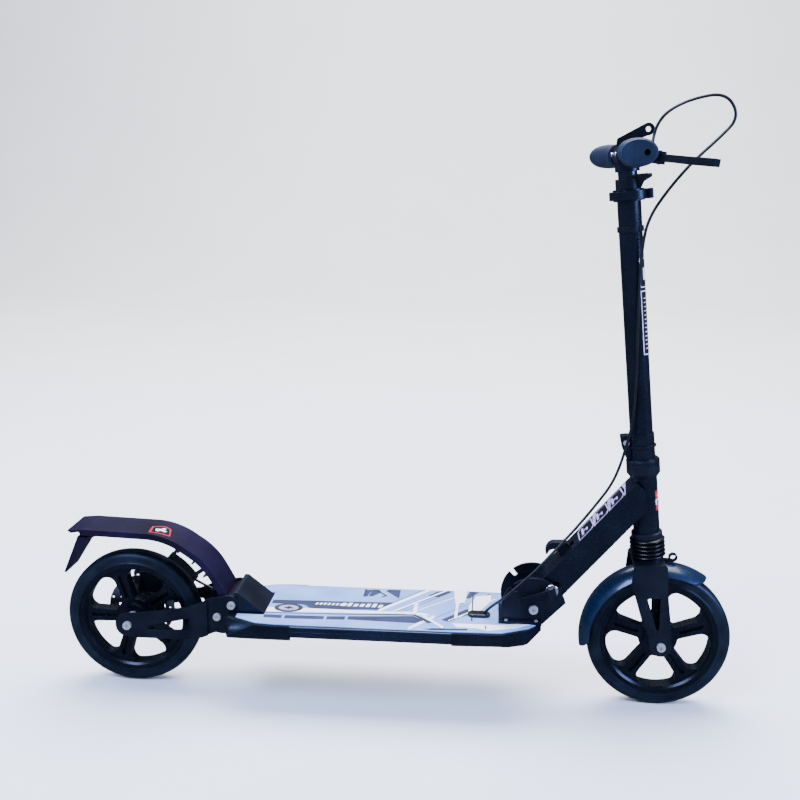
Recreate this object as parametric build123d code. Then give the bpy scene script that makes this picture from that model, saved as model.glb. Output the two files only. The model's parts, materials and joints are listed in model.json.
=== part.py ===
from build123d import *
import os
from math import asin, atan2, cos, degrees, hypot, radians, sin, sqrt, tan

# Folding kick scooter with two big wheels, a sprung fork, a rear disc brake and a telescoping T-bar.
# Millimetres. +X is forward, +Y is the rider's left, +Z is up. The origin is on the ground,
# on the middle plane, midway between the two axles.

# ---------------------------------------------------------------- driving dimensions
WHEELBASE = 760.0
WHEEL_RADIUS = 100.0
TYRE_WIDTH = 30.0
TYRE_DEPTH = 18.0
TYRE_CROWN_FLAT = 12.0
RIM_DEPTH = 9.0
RIM_WIDTH = 28.0
SPOKE_COUNT = 5
SPOKE_WIDTH = 16.0
SPOKE_THICKNESS = 18.0
HUB_RADIUS = 21.0
HUB_WIDTH = 34.0
BEARING_RADIUS = 11.0
BEARING_WIDTH = 7.0
AXLE_RADIUS = 4.0
BOLT_HEAD_RADIUS = 6.0
BOLT_HEAD_HEIGHT = 5.0
RUN_FIT = 0.05
SIDE_GAP = 0.3

DECK_TOP = 124.0
DECK_HEIGHT = 17.0
DECK_HALF_WIDTH = 77.0
DECK_WALL = 3.0
DECK_RIB_Y = 26.0
TAPE_THICKNESS = 1.2
TAPE_INSET = 5.0
DECK_TO_REAR_WHEEL = 49.0
DECK_TO_FRONT_AXLE = 166.0
REAR_CAP_LENGTH = 96.0
FRONT_CAP_LENGTH = 124.0
CAP_WALL = 3.0
HEEL_FOOT = 52.0

REAR_PLATE_INNER_Y = 36.0
REAR_PLATE_THICKNESS = 4.0
REAR_PLATE_JOG = 4.0
FRONT_PLATE_INNER_Y = 33.0
FRONT_PLATE_THICKNESS = 4.0

DISC_RADIUS = 50.0
DISC_THICKNESS = 2.0
DISC_Y = 26.0

FOLD_PIVOT_BACK = 177.1
FOLD_PIVOT_Z = 146.0
FOLD_ANGLE = 84.0
SECTOR_RADIUS = 45.5
SECTOR_INNER_Y = 28.0
SECTOR_THICKNESS = 4.0
LATCH_RADIUS = 37.7
LATCH_TRAVEL = 10.0
SKEWER_RADIUS = 3.0
PIVOT_BOLT_RADIUS = 5.0

TUBE_ANGLE = 49.4
TUBE_WIDTH = 50.0
TUBE_DEPTH = 36.0
TUBE_WALL = 3.0

STEM_LEAN = 5.9
FORK_OFFSET = 6.8
SUSPENSION_TRAVEL = 15.0
CROWN_GAP = 11.5
CROWN_THICKNESS = 5.5
CROWN_BOSS = 2.6
BELLOWS_LENGTH = 32.0
BELLOWS_RADIUS = 24.5
BELLOWS_FOLDS = 5
LOWER_CUP_HEIGHT = 8.0
HEAD_TUBE_LENGTH = 80.0
HEAD_TUBE_RADIUS = 18.0
HEAD_TUBE_WALL = 2.0
UPPER_CUP_RADIUS = 22.8
UPPER_CUP_HEIGHT = 17.0
TOP_CAP_HEIGHT = 8.0
STEERER_RADIUS = 13.5
STEERER_WALL = 2.0
CLAMP_LENGTH = 35.0
OUTER_STEM_RADIUS = 15.5
OUTER_STEM_LENGTH = 363.0
INNER_STEM_RADIUS = 12.5
TUBE_GAUGE = 2.0
COLLAR_HEIGHT = 15.0
COLLAR_RADIUS = 20.5
BAR_ABOVE_STEM = 43.7
BAR_TRAVEL = 200.0
BAR_HALF_WIDTH = 197.0
BAR_TUBE_RADIUS = 12.5
T_SLEEVE_RADIUS = 16.0
T_SLEEVE_HALF = 38.0
GRIP_LENGTH = 115.0

FENDER_HALF_WIDTH = 32.0
FENDER_SKIN = 3.0
FRONT_FENDER_HALF_WIDTH = 27.0
FRONT_FENDER_RADIUS = 111.0
FRONT_FENDER_CROWN = 13.0
FRONT_FENDER_SKIN = 2.5

LEVER_DROOP = 8.0
CABLE_DIAMETER = 4.0

# ---------------------------------------------------------------- places worked out from them
REAR_X = -WHEELBASE / 2
FRONT_X = WHEELBASE / 2
AXLE_Z = WHEEL_RADIUS
RIM_RADIUS = WHEEL_RADIUS - TYRE_DEPTH
RIM_INNER = RIM_RADIUS - RIM_DEPTH
DECK_BACK = REAR_X + WHEEL_RADIUS + DECK_TO_REAR_WHEEL
DECK_FRONT = FRONT_X - DECK_TO_FRONT_AXLE
EXTRUSION_BACK = DECK_BACK + REAR_CAP_LENGTH
EXTRUSION_FRONT = DECK_FRONT - FRONT_CAP_LENGTH
DECK_BOTTOM = DECK_TOP - DECK_HEIGHT
CELL_LOW = DECK_BOTTOM + DECK_WALL
CELL_HIGH = DECK_TOP - DECK_WALL
PIVOT_X = FRONT_X - FOLD_PIVOT_BACK
CROWN_LOW = AXLE_Z + WHEEL_RADIUS + CROWN_GAP
CROWN_TOP = CROWN_LOW + CROWN_THICKNESS

LEAN = radians(STEM_LEAN)
STEM = Plane(
    origin=(FRONT_X - FORK_OFFSET * cos(LEAN), 0, AXLE_Z - FORK_OFFSET * sin(LEAN)),
    x_dir=(cos(LEAN), 0, sin(LEAN)),
    z_dir=(-sin(LEAN), 0, cos(LEAN)),
)


def up_stem(z):
    """Distance along the steering axis at which it reaches height z."""
    return (z - STEM.origin.Z) / cos(LEAN)


def stem_x(z):
    """X of the steering axis at height z."""
    return STEM.origin.X - (z - STEM.origin.Z) * tan(LEAN)


S_CROWN = up_stem(CROWN_TOP)
S_LOWER_CUP = S_CROWN + BELLOWS_LENGTH
S_HEAD = S_LOWER_CUP + LOWER_CUP_HEIGHT
S_UPPER_CUP = S_HEAD + HEAD_TUBE_LENGTH
S_TOP_CAP = S_UPPER_CUP + UPPER_CUP_HEIGHT + SIDE_GAP
S_STEM = S_TOP_CAP + TOP_CAP_HEIGHT
S_STEM_TOP = S_STEM + OUTER_STEM_LENGTH
S_COLLAR = S_STEM_TOP - COLLAR_HEIGHT
S_BAR = S_STEM_TOP + BAR_ABOVE_STEM
BAR = STEM.from_local_coords((0, 0, S_BAR))

SPRING_LOW = S_LOWER_CUP + 50.0
SPRING_HIGH = S_STEM - 2.0


# ---------------------------------------------------------------- helpers
def side_plate(outline, y_low, y_high):
    """A side-view outline (x, z) made solid between two widths."""
    return extrude(Plane.XZ.offset(-y_high) * outline, amount=y_high - y_low)


def both_sides(solid):
    """The solid and its mirror image across the middle plane."""
    return [solid, mirror(solid, about=Plane.XZ)]


def polygon(*points):
    return make_face(Polyline(*points, close=True))


def rounded(radius, *points):
    return fillet(polygon(*points).vertices(), radius)


def ring_y(x, z, outer, inner, y_low, y_high):
    """A ring or disc whose axis is parallel to Y."""
    outline = Circle(outer)
    if inner:
        outline -= Circle(inner)
    return side_plate(Pos(x, z) * outline, y_low, y_high)


def on_stem(outer, inner, low, high):
    """A tube or rod on the steering axis between two distances up it."""
    outline = Circle(outer)
    if inner:
        outline -= Circle(inner)
    return STEM * Pos(0, 0, low) * extrude(outline, amount=high - low)


def turned_on_stem(*points):
    """A ring turned on the steering axis from its (radius, height) section."""
    section = Plane.XZ * polygon(*points)
    return STEM * revolve(section, axis=Axis.Z)


def hex_bolt(x, z, radius, y_low, y_high, head=BOLT_HEAD_RADIUS, height=BOLT_HEAD_HEIGHT):
    """A bolt along Y: domed head with a hex socket at y_low, nut at y_high."""
    shank = ring_y(x, z, radius, 0, y_low, y_high)
    cap = ring_y(x, z, head, 0, y_low - height, y_low)
    socket = side_plate(Pos(x, z) * RegularPolygon(head / 2, 6), y_low - height, y_low - height / 2)
    tail = ring_y(x, z, radius, 0, y_high, y_high + height)
    bolt = shank + tail + cap - socket
    nut_outline = RegularPolygon(head, 6) - Circle(radius)
    nut = side_plate(Pos(x, z) * nut_outline, y_high, y_high + height - 1)
    return [bolt, nut]


def save(name, *shapes):
    """Write the named piece, keeping each of its solids separate."""
    solids = []
    for shape in shapes:
        solids.extend(shape.solids())
    os.makedirs("parts", exist_ok=True)
    export_step(Compound(solids), f"parts/{name}.step")


# ---------------------------------------------------------------- wheels
def tyre(x):
    half = TYRE_WIDTH / 2
    flat = TYRE_CROWN_FLAT / 2
    shoulder = WHEEL_RADIUS - 11
    mid = (WHEEL_RADIUS - 2.6, (half + flat) / 2 + 1.7)
    edge = [
        Polyline((WHEEL_RADIUS, -flat), (WHEEL_RADIUS, flat)),
        ThreePointArc((WHEEL_RADIUS, flat), mid, (shoulder, half)),
        Polyline((shoulder, half), (RIM_RADIUS, half - 0.5), (RIM_RADIUS, -half + 0.5), (shoulder, -half)),
        ThreePointArc((shoulder, -half), (mid[0], -mid[1]), (WHEEL_RADIUS, -flat)),
    ]
    return Pos(x, 0, AXLE_Z) * revolve(make_face(edge), axis=Axis.Y)


def spoke_window():
    """The opening between two spokes, pointing along +X of its own plane."""
    half_pitch = radians(180 / SPOKE_COUNT)
    apex = SPOKE_WIDTH / 2 / sin(half_pitch)
    reach = 2 * RIM_INNER
    side = half_pitch - radians(2)
    wedge = polygon((apex, 0), (apex + reach * cos(side), reach * sin(side)),
                    (apex + reach * cos(side), -reach * sin(side)))
    window = (wedge & Circle(RIM_INNER)) - Circle(HUB_RADIUS + 6)
    outer = [v for v in window.vertices() if hypot(v.X, v.Y) > RIM_INNER - 1]
    window = fillet(outer, 13)
    inner = [v for v in window.vertices() if hypot(v.X, v.Y) < HUB_RADIUS + 6.5]
    return fillet(inner, 4)


def rim(x, first_spoke):
    """Five-spoke moulded rim; first_spoke is the angle of one spoke above +X."""
    half = RIM_WIDTH / 2
    bed = polygon((RIM_INNER, 3 - half), (RIM_INNER + 3, -half), (RIM_RADIUS, -half),
                  (RIM_RADIUS, half), (RIM_INNER + 3, half), (RIM_INNER, half - 3))
    body = Pos(x, 0, AXLE_Z) * revolve(bed, axis=Axis.Y)
    web = Circle(RIM_INNER + 1)
    window = spoke_window()
    pitch = 360 / SPOKE_COUNT
    for index in range(SPOKE_COUNT):
        web -= Rot(0, 0, first_spoke + pitch * (index + 0.5)) * window
    body += side_plate(Pos(x, AXLE_Z) * web, -SPOKE_THICKNESS / 2, SPOKE_THICKNESS / 2)
    body += ring_y(x, AXLE_Z, HUB_RADIUS, 0, -HUB_WIDTH / 2, HUB_WIDTH / 2)
    groove_depth = 4.5
    for index in range(SPOKE_COUNT):
        turn = Rot(0, 0, first_spoke + pitch * index)
        slot = Pos(x, AXLE_Z) * (turn * (Pos((HUB_RADIUS + RIM_INNER) / 2, 0) * SlotOverall(36, 6)))
        hole = Pos(x, AXLE_Z) * (turn * (Pos(HUB_RADIUS - 4.5, 0) * Circle(1.6)))
        face = SPOKE_THICKNESS / 2
        body -= side_plate(slot, face - groove_depth, face + 1)
        body -= side_plate(slot, -face - 1, groove_depth - face)
        body -= side_plate(hole, -HUB_WIDTH / 2 - 1, 3 - HUB_WIDTH / 2)
    seat = HUB_WIDTH / 2 - BEARING_WIDTH
    body -= ring_y(x, AXLE_Z, BEARING_RADIUS, 0, seat, HUB_WIDTH / 2 + 1)
    body -= ring_y(x, AXLE_Z, BEARING_RADIUS, 0, -HUB_WIDTH / 2 - 1, -seat)
    body -= ring_y(x, AXLE_Z, BEARING_RADIUS - 2, 0, -seat - 1, seat + 1)
    return body


def bearings(x):
    seat = HUB_WIDTH / 2 - BEARING_WIDTH
    return both_sides(ring_y(x, AXLE_Z, BEARING_RADIUS, AXLE_RADIUS, seat, HUB_WIDTH / 2))


def axle(x, plate_inner, plate_thickness):
    """Bolt, nut and the two spacers between the plates and the bearings."""
    outer = plate_inner + plate_thickness
    pieces = hex_bolt(x, AXLE_Z, AXLE_RADIUS - RUN_FIT, -outer, outer)
    spacer = ring_y(x, AXLE_Z, AXLE_RADIUS + 2.5, AXLE_RADIUS, HUB_WIDTH / 2 + SIDE_GAP, plate_inner)
    return pieces + both_sides(spacer)


def brake_disc():
    """Vented disc with five arms and the boss that bolts it to the hub."""
    outline = Circle(DISC_RADIUS) - Circle(DISC_RADIUS - 14)
    for index in range(SPOKE_COUNT):
        arm = Rot(0, 0, 72 * index + 20) * (Pos(DISC_RADIUS / 2, 0) * Rectangle(DISC_RADIUS - 12, 8))
        outline += arm
    for index in range(20):
        outline -= Rot(0, 0, 18 * index) * (Pos(DISC_RADIUS - 7 + 3 * (index % 2), 0) * Circle(1.8))
    outline += Circle(HUB_RADIUS - 1)
    outline -= Circle(BEARING_RADIUS)
    disc = side_plate(Pos(REAR_X, AXLE_Z) * outline, DISC_Y - DISC_THICKNESS / 2, DISC_Y + DISC_THICKNESS / 2)
    return disc + ring_y(REAR_X, AXLE_Z, HUB_RADIUS - 1, BEARING_RADIUS, HUB_WIDTH / 2, DISC_Y)


# ---------------------------------------------------------------- deck
def deck_plan(inset=0.0):
    """Plan outline of the whole deck, tapered at both ends."""
    w = DECK_HALF_WIDTH - inset
    back = DECK_BACK + inset
    front = DECK_FRONT - inset
    half = [
        (back, DECK_HALF_WIDTH - 24 - inset),
        (DECK_BACK + 45, w - 3),
        (DECK_BACK + 72, w),
        (EXTRUSION_FRONT, w),
        (EXTRUSION_FRONT + 68, w - 2),
        (EXTRUSION_FRONT + 106, w - 21),
        (front, 38 - inset / 2),
    ]
    return polygon(*half, *[(px, -py) for px, py in reversed(half)])


def deck_block(z_low, z_high, x_low, x_high, inset=0.0):
    """The part of the deck's plan between two X limits, as a slab."""
    slab = Pos(0, 0, z_low) * extrude(deck_plan(inset), amount=z_high - z_low)
    middle = (x_low + x_high) / 2
    window = Pos(middle, 0, (z_low + z_high) / 2) * Box(x_high - x_low, 400, z_high - z_low + 2)
    return slab & window


def deck_extrusion():
    """Hollow aluminium profile with three cells."""
    w = DECK_HALF_WIDTH
    outline = rounded(2.5, (-w + 9, DECK_BOTTOM), (w - 9, DECK_BOTTOM), (w, DECK_BOTTOM + 9), (w, DECK_TOP),
                      (-w, DECK_TOP), (-w, DECK_BOTTOM + 9))
    rib = DECK_WALL / 2
    centre = Pos(0, (CELL_LOW + CELL_HIGH) / 2) * Rectangle(2 * (DECK_RIB_Y - rib), CELL_HIGH - CELL_LOW)
    outline -= centre
    for side in (1, -1):
        outline -= rounded(1.5, (side * (DECK_RIB_Y + rib), CELL_LOW), (side * (w - 11), CELL_LOW),
                           (side * (w - DECK_WALL), CELL_LOW + 7), (side * (w - DECK_WALL), CELL_HIGH),
                           (side * (DECK_RIB_Y + rib), CELL_HIGH))
    section = Plane(origin=(EXTRUSION_BACK, 0, 0), x_dir=(0, 1, 0), z_dir=(1, 0, 0))
    return extrude(section * outline, amount=EXTRUSION_FRONT - EXTRUSION_BACK)


TONGUE_LOW = CELL_LOW + 0.3
TONGUE_HIGH = CELL_HIGH - 0.3
JOGGED_INNER_Y = REAR_PLATE_INNER_Y - REAR_PLATE_JOG


def flared_block(half_top, half_low, low, chamfer_width):
    """A slab whose sides run straight from the top outline to the low one, its bottom edge chamfered."""
    slab = None
    widest = low + chamfer_width
    levels = [(DECK_TOP, half_top, 0.0), (widest, half_low, 0.0), (low, half_low, chamfer_width)]
    for (z_high, upper, upper_in), (z_low, lower, lower_in) in zip(levels, levels[1:]):
        faces = []
        for z, half, inward in ((z_low, lower, lower_in), (z_high, upper, upper_in)):
            near = [(px, py - inward) for px, py in half]
            faces.append(Pos(0, 0, z) * polygon(*near, *[(px, -py) for px, py in reversed(near)]))
        layer = loft(faces, ruled=True)
        slab = layer if slab is None else slab + layer
    return slab


def deck_rear_cap():
    low = DECK_BOTTOM - 5
    w = DECK_HALF_WIDTH
    top = [(DECK_BACK, w - 24), (DECK_BACK + 45, w - 3), (DECK_BACK + 72, w), (EXTRUSION_BACK, w)]
    bottom = [(DECK_BACK, w - 18), (DECK_BACK + 6, w - 1), (DECK_BACK + 40, w), (EXTRUSION_BACK, w)]
    body = flared_block(top, bottom, low, 4)
    body -= deck_block(low - 1, CELL_HIGH, DECK_BACK + CAP_WALL, EXTRUSION_BACK + 1, inset=CAP_WALL + 3)
    for plate_y in (JOGGED_INNER_Y, -JOGGED_INNER_Y - REAR_PLATE_THICKNESS):
        slot = Box(26.6, REAR_PLATE_THICKNESS + 0.4, 60, align=(Align.CENTER, Align.MIN, Align.CENTER))
        body -= Pos(DECK_BACK, plate_y - 0.2, DECK_TOP) * slot
    body -= Pos(DECK_BACK, CABLE_EXIT_Y, CABLE_EXIT_Z) * Rot(0, 90, 0) * Cylinder(CABLE_DIAMETER / 2 + 1.7, 30)
    return body


def deck_front_cap():
    low = DECK_BOTTOM - 3.5
    w = DECK_HALF_WIDTH
    top = [(EXTRUSION_FRONT, w), (EXTRUSION_FRONT + 68, w - 2), (EXTRUSION_FRONT + 106, w - 21), (DECK_FRONT, 38)]
    bottom = [(EXTRUSION_FRONT, w - 3), (EXTRUSION_FRONT + 78, w - 6), (EXTRUSION_FRONT + 106, w - 17),
              (DECK_FRONT, 41)]
    body = flared_block(top, bottom, low, 3)
    nose = polygon((DECK_FRONT - 26, low - 1), (DECK_FRONT + 1, low - 1), (DECK_FRONT + 1, DECK_TOP - 6))
    body -= side_plate(nose, -DECK_HALF_WIDTH, DECK_HALF_WIDTH)
    body -= deck_block(low - 1, CELL_HIGH, EXTRUSION_FRONT - 1, DECK_FRONT - 30, inset=CAP_WALL + 3)
    for y in (FLOOR_BAR_LOW, -FLOOR_BAR_HIGH):
        riser = Pos(PIVOT_X - 30, y, CELL_HIGH - 1) * Box(
            20.4, FLOOR_BAR_HIGH - FLOOR_BAR_LOW, 10, align=(Align.CENTER, Align.MIN, Align.MIN))
        body -= riser
    body -= Pos(PORT_X - 2, PORT_Y, DECK_TOP) * Cylinder(PORT_BORE, 20)
    return body


def grip_tape():
    tape = deck_block(DECK_TOP, DECK_TOP + TAPE_THICKNESS, DECK_BACK + 14, DECK_FRONT - TAPE_INSET,
                      inset=TAPE_INSET)
    heel = Pos(DECK_BACK, 0, DECK_TOP - 1) * Box(
        HEEL_FOOT + 0.5, 82, 5, align=(Align.MIN, Align.CENTER, Align.MIN))
    foot = Pos(PIVOT_X - SECTOR_RADIUS - 3, 0, DECK_TOP - 1) * Box(
        2 * SECTOR_RADIUS + 60, 2 * FLANGE_Y + 0.6, 5, align=(Align.MIN, Align.CENTER, Align.MIN))
    port = Pos(PORT_X - 4, PORT_Y, DECK_TOP) * extrude(SlotOverall(PORT_LENGTH + 0.6, PORT_WIDTH + 0.6), amount=5)
    return tape - heel - foot - port


# ---------------------------------------------------------------- rear end
FENDER_PIN = (REAR_X + 153.2, 135.3)
CROSS_BOLT = (REAR_X + 132.0, 117.0)


def rear_fork_plate():
    """Pressed side plate: wide at the axle, jogged inward and plugged into the deck."""
    x = REAR_X
    outline = rounded(4, (x - 2, AXLE_Z + 16), (x + 18, AXLE_Z + 19), (x + 88, AXLE_Z + 29.5),
                      (x + 122, AXLE_Z + 44), (x + 150, AXLE_Z + 49.3), (x + 162, AXLE_Z + 46),
                      (x + 162, 92), (x + 137, 91),
                      (x + 129, 92.8), (x + 110, 85), (x + 82, 80.6), (x - 2, 81))
    outline += Pos(x, AXLE_Z) * Circle(18)
    outline -= rounded(3, (x + 28.8, 99.5), (x + 93, 114), (x + 93, 94.5), (x + 30, 93.5))
    outline -= Pos(x, AXLE_Z) * Circle(AXLE_RADIUS)
    outline -= Pos(*FENDER_PIN) * Circle(AXLE_RADIUS)
    outline -= Pos(*CROSS_BOLT) * Circle(AXLE_RADIUS)
    outer = side_plate(outline, REAR_PLATE_INNER_Y, REAR_PLATE_INNER_Y + REAR_PLATE_THICKNESS)
    inner = side_plate(outline, JOGGED_INNER_Y, REAR_PLATE_INNER_Y)
    jog_x = x + 118
    outer &= Pos(jog_x, 0, AXLE_Z) * Box(400, 200, 200, align=(Align.MAX, Align.CENTER, Align.CENTER))
    inner &= Pos(jog_x - REAR_PLATE_THICKNESS, 0, AXLE_Z) * Box(
        400, 200, 200, align=(Align.MIN, Align.CENTER, Align.CENTER))
    tongue = side_plate(
        polygon((x + 155, TONGUE_LOW), (EXTRUSION_BACK + 60, TONGUE_LOW),
                (EXTRUSION_BACK + 60, TONGUE_HIGH), (x + 155, TONGUE_HIGH)),
        JOGGED_INNER_Y, REAR_PLATE_INNER_Y)
    below = Pos(DECK_BACK - 0.3, 0, 0) * Box(200, 200, TONGUE_LOW, align=(Align.MIN, Align.CENTER, Align.MIN))
    return outer + (inner - below) + tongue


def heel_bracket():
    """Folded ramp sheet with a cheek at each side, in front of the rear fork plates."""
    x = REAR_X
    ramp_half = REAR_PLATE_INNER_Y + 0.5
    ramp = polygon((x + 157, 154.5), (x + 162.5, 154.5), (DECK_BACK + HEEL_FOOT, DECK_TOP), (DECK_BACK + HEEL_FOOT - 6, DECK_TOP),
                   (x + 162.5, 150), (x + 157, 150))
    body = side_plate(ramp, -ramp_half, ramp_half)
    cheek = polygon((x + 162.3, 150.6), (x + 195.8, DECK_TOP), (x + 162.3, DECK_TOP))
    for solid in both_sides(side_plate(cheek, JOGGED_INNER_Y, REAR_PLATE_INNER_Y)):
        body += solid
    return body


def caliper_outline():
    x = REAR_X
    return rounded(3, (x - 2, 128), (x + 34, 124), (x + 42, 138), (x + 32, 156), (x + 2, 158))


CALIPER_PIVOT = (REAR_X + 20, 143)


def caliper_body():
    body = side_plate(caliper_outline(), 20.5, 32)
    body -= ring_y(REAR_X, AXLE_Z, DISC_RADIUS + 1.5, 0, DISC_Y - 3.4, DISC_Y + 3.4)
    return body - ring_y(*CALIPER_PIVOT, 4.05, 0, DISC_Y + 3, 40)


def brake_pads():
    """One pad each side of the disc, carried by the caliper's slot."""
    outline = Pos(REAR_X + 18, 141) * Circle(6.4)
    return [side_plate(outline, DISC_Y - 3.4, DISC_Y - 1.5), side_plate(outline, DISC_Y + 1.5, DISC_Y + 3.4)]


def caliper_bracket():
    x = REAR_X
    outline = rounded(3, (x - 13, 122), (x + 2, 106), (x + 50, 106), (x + 46, 140), (x + 34, 158),
                      (x - 2, 160), (x - 13, 154))
    outline -= Pos(x - 7, 147) * Circle(2.6)
    outline -= Pos(*CALIPER_PIVOT) * Circle(4.05)
    plate = side_plate(outline, 32, REAR_PLATE_INNER_Y) - ring_y(x, AXLE_Z, 9, 0, 30, 40)
    stop = side_plate(Pos(x + 31, 157) * Rectangle(7, 10), 33, 46)
    return plate + stop - Pos(x + 30.3, 41.8, 157.5) * Rot(0, 90, 0) * Cylinder(1.2, 20) - cable_rear_solid


def caliper_arm():
    """Arm outside the caliper that the cable pulls."""
    px, pz = CALIPER_PIVOT
    outline = rounded(2.5, (px + 6, pz - 6), (px + 6, pz + 6), (px - 22, pz + 17), (px - 26, pz + 9), (px - 6, pz - 6))
    arm = side_plate(outline, REAR_PLATE_INNER_Y + SIDE_GAP, REAR_PLATE_INNER_Y + SIDE_GAP + 4)
    arm += ring_y(px - 21, pz + 11.5, 3.4, 0, REAR_PLATE_INNER_Y + SIDE_GAP, REAR_PLATE_INNER_Y + 8)
    return arm + ring_y(px, pz, 4, 0, DISC_Y + 4, REAR_PLATE_INNER_Y + 2)


def fender_path(drop=0.0):
    """Middle line of the fender's skin, or a line parallel to it that lies nearer the wheel."""
    x = REAR_X
    return FilletPolyline(
        (x - 64 - 0.033 * drop, 238.5 - drop), (x + 58 - 0.319 * drop, 234.5 - 0.99 * drop),
        (x + 117 - 0.76 * drop, 195 - 0.695 * drop), (x + 146.5 - 0.878 * drop, 141 - 0.48 * drop),
        radius=105 - drop)


def rear_fender():
    """Moulded rear fender: wide skin, edge lips, spine with cross ribs, tail wedge and mud flap."""
    x = REAR_X
    skin_outline = trace(fender_path(), FENDER_SKIN)
    skin_outline += polygon((x - 63, 240), (x - 85, 238), (x - 80, 234), (x - 63, 237))
    body = side_plate(skin_outline, -FENDER_HALF_WIDTH, FENDER_HALF_WIDTH)
    lip = trace(fender_path(3), 9)
    for solid in both_sides(side_plate(lip, FENDER_HALF_WIDTH - 2.5, FENDER_HALF_WIDTH)):
        body += solid
    spine = polygon((x + 40, 234), (x + 78, 218), (x + 117, 192), (x + 145, 142), (x + 150, 128),
                    (x + 143, 131), (x + 132, 143), (x + 122, 158), (x + 108, 177), (x + 92, 195),
                    (x + 72, 211), (x + 46, 226))
    body += side_plate(spine, -12, 12)
    for rx, rz in ((74, 210), (95, 193), (112, 173), (124, 153)):
        turn = degrees(atan2(rz - 100, rx))
        rib = Pos(x + rx + 5, 0, rz + 4) * Rot(0, -turn, 0) * Box(13, 2 * FENDER_HALF_WIDTH - 4, 2.5)
        body += rib
    tail = polygon((x - 80, 237), (x - 70, 222), (x - 56, 222), (x - 14, 237))
    body += side_plate(tail, -16, 16)
    flap = polygon((x - 74, 226), (x - 60, 224), (x - 94, 170), (x - 97, 171))
    body += side_plate(flap, -23, 23)
    knuckle = ring_y(*FENDER_PIN, 10.5, 0, -JOGGED_INNER_Y + SIDE_GAP, JOGGED_INNER_Y - SIDE_GAP)
    link = polygon((x + 143, 133), (x + 148, 129), (x + 160, 142), (x + 152, 147), (x + 145, 144))
    body += knuckle + side_plate(link, -JOGGED_INNER_Y + SIDE_GAP, JOGGED_INNER_Y - SIDE_GAP)
    return body - ring_y(*FENDER_PIN, AXLE_RADIUS + RUN_FIT, 0, -50, 50) - fender_spring_pocket()


def fender_spring_pocket():
    return ring_y(*FENDER_PIN, 8.3, 0, -9, 9)


def fender_brake_pad():
    """Friction shoe on two feet under the fender, just clear of the tyre."""
    x = REAR_X
    inner = WHEEL_RADIUS + 6
    band = Circle(inner + 4) - Circle(inner)
    wedge = polygon((0, 0), (150 * cos(radians(60)), 150 * sin(radians(60))),
                    (150 * cos(radians(32)), 150 * sin(radians(32))))
    shoe = side_plate(Pos(x, AXLE_Z) * (band & wedge), -11, 11)
    for angle in (57.5, 35.5):
        post = Pos(x, 0, AXLE_Z) * Rot(0, -angle, 0) * Pos(inner + 2, 0, 0) * Box(
            30, 14, 4, align=(Align.MIN, Align.CENTER, Align.CENTER))
        shoe += post
    return shoe - rear_fender_solid


def fender_spring():
    """Torsion spring round the fender pin."""
    coil = Helix(pitch=2.2, height=13, radius=6.4)
    wire = sweep(Plane(coil @ 0, z_dir=coil % 0) * Circle(0.8), path=coil)
    return Pos(FENDER_PIN[0], 6.5, FENDER_PIN[1]) * Rot(90, 0, 0) * wire


# ---------------------------------------------------------------- fold joint
FLANGE_Y = SECTOR_INNER_Y + SECTOR_THICKNESS + 6.0
FLANGE_TOP = DECK_TOP + 5.0
FLOOR_BAR_LOW = 16.0
FLOOR_BAR_HIGH = 24.0
PORT_X = FRONT_X - 249.0
PORT_Y = -13.0
PORT_WIDTH = 18.0
PORT_LENGTH = 32.0
CABLE_EXIT_Y = 22.5
CABLE_EXIT_Z = 117.2
PORT_BORE = 7.0


def polar(angle, radius):
    """A point in the side view, given from the fold pivot."""
    return (PIVOT_X + radius * cos(radians(angle)), FOLD_PIVOT_Z + radius * sin(radians(angle)))


def latch_track(clearance=0.2):
    """Room for the skewer between its two stops, and a notch bottom at each stop."""
    half = SKEWER_RADIUS + clearance
    track = Circle(2 * SECTOR_RADIUS) - Circle(LATCH_RADIUS - half)
    far = 4 * SECTOR_RADIUS
    start, end = radians(TUBE_ANGLE), radians(TUBE_ANGLE + FOLD_ANGLE)
    middle = (start + end) / 2
    track &= polygon((0, 0), (far * cos(start), far * sin(start)), (far * cos(middle), far * sin(middle)),
                     (far * cos(end), far * sin(end)))
    for angle in (start, end):
        notch = Pos(LATCH_RADIUS + LATCH_TRAVEL, 0) * Rectangle(2 * LATCH_TRAVEL, 2 * half)
        notch += Pos(LATCH_RADIUS, 0) * Circle(half)
        track += Rot(0, 0, degrees(angle)) * notch
    return Pos(PIVOT_X, FOLD_PIVOT_Z) * track


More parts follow.
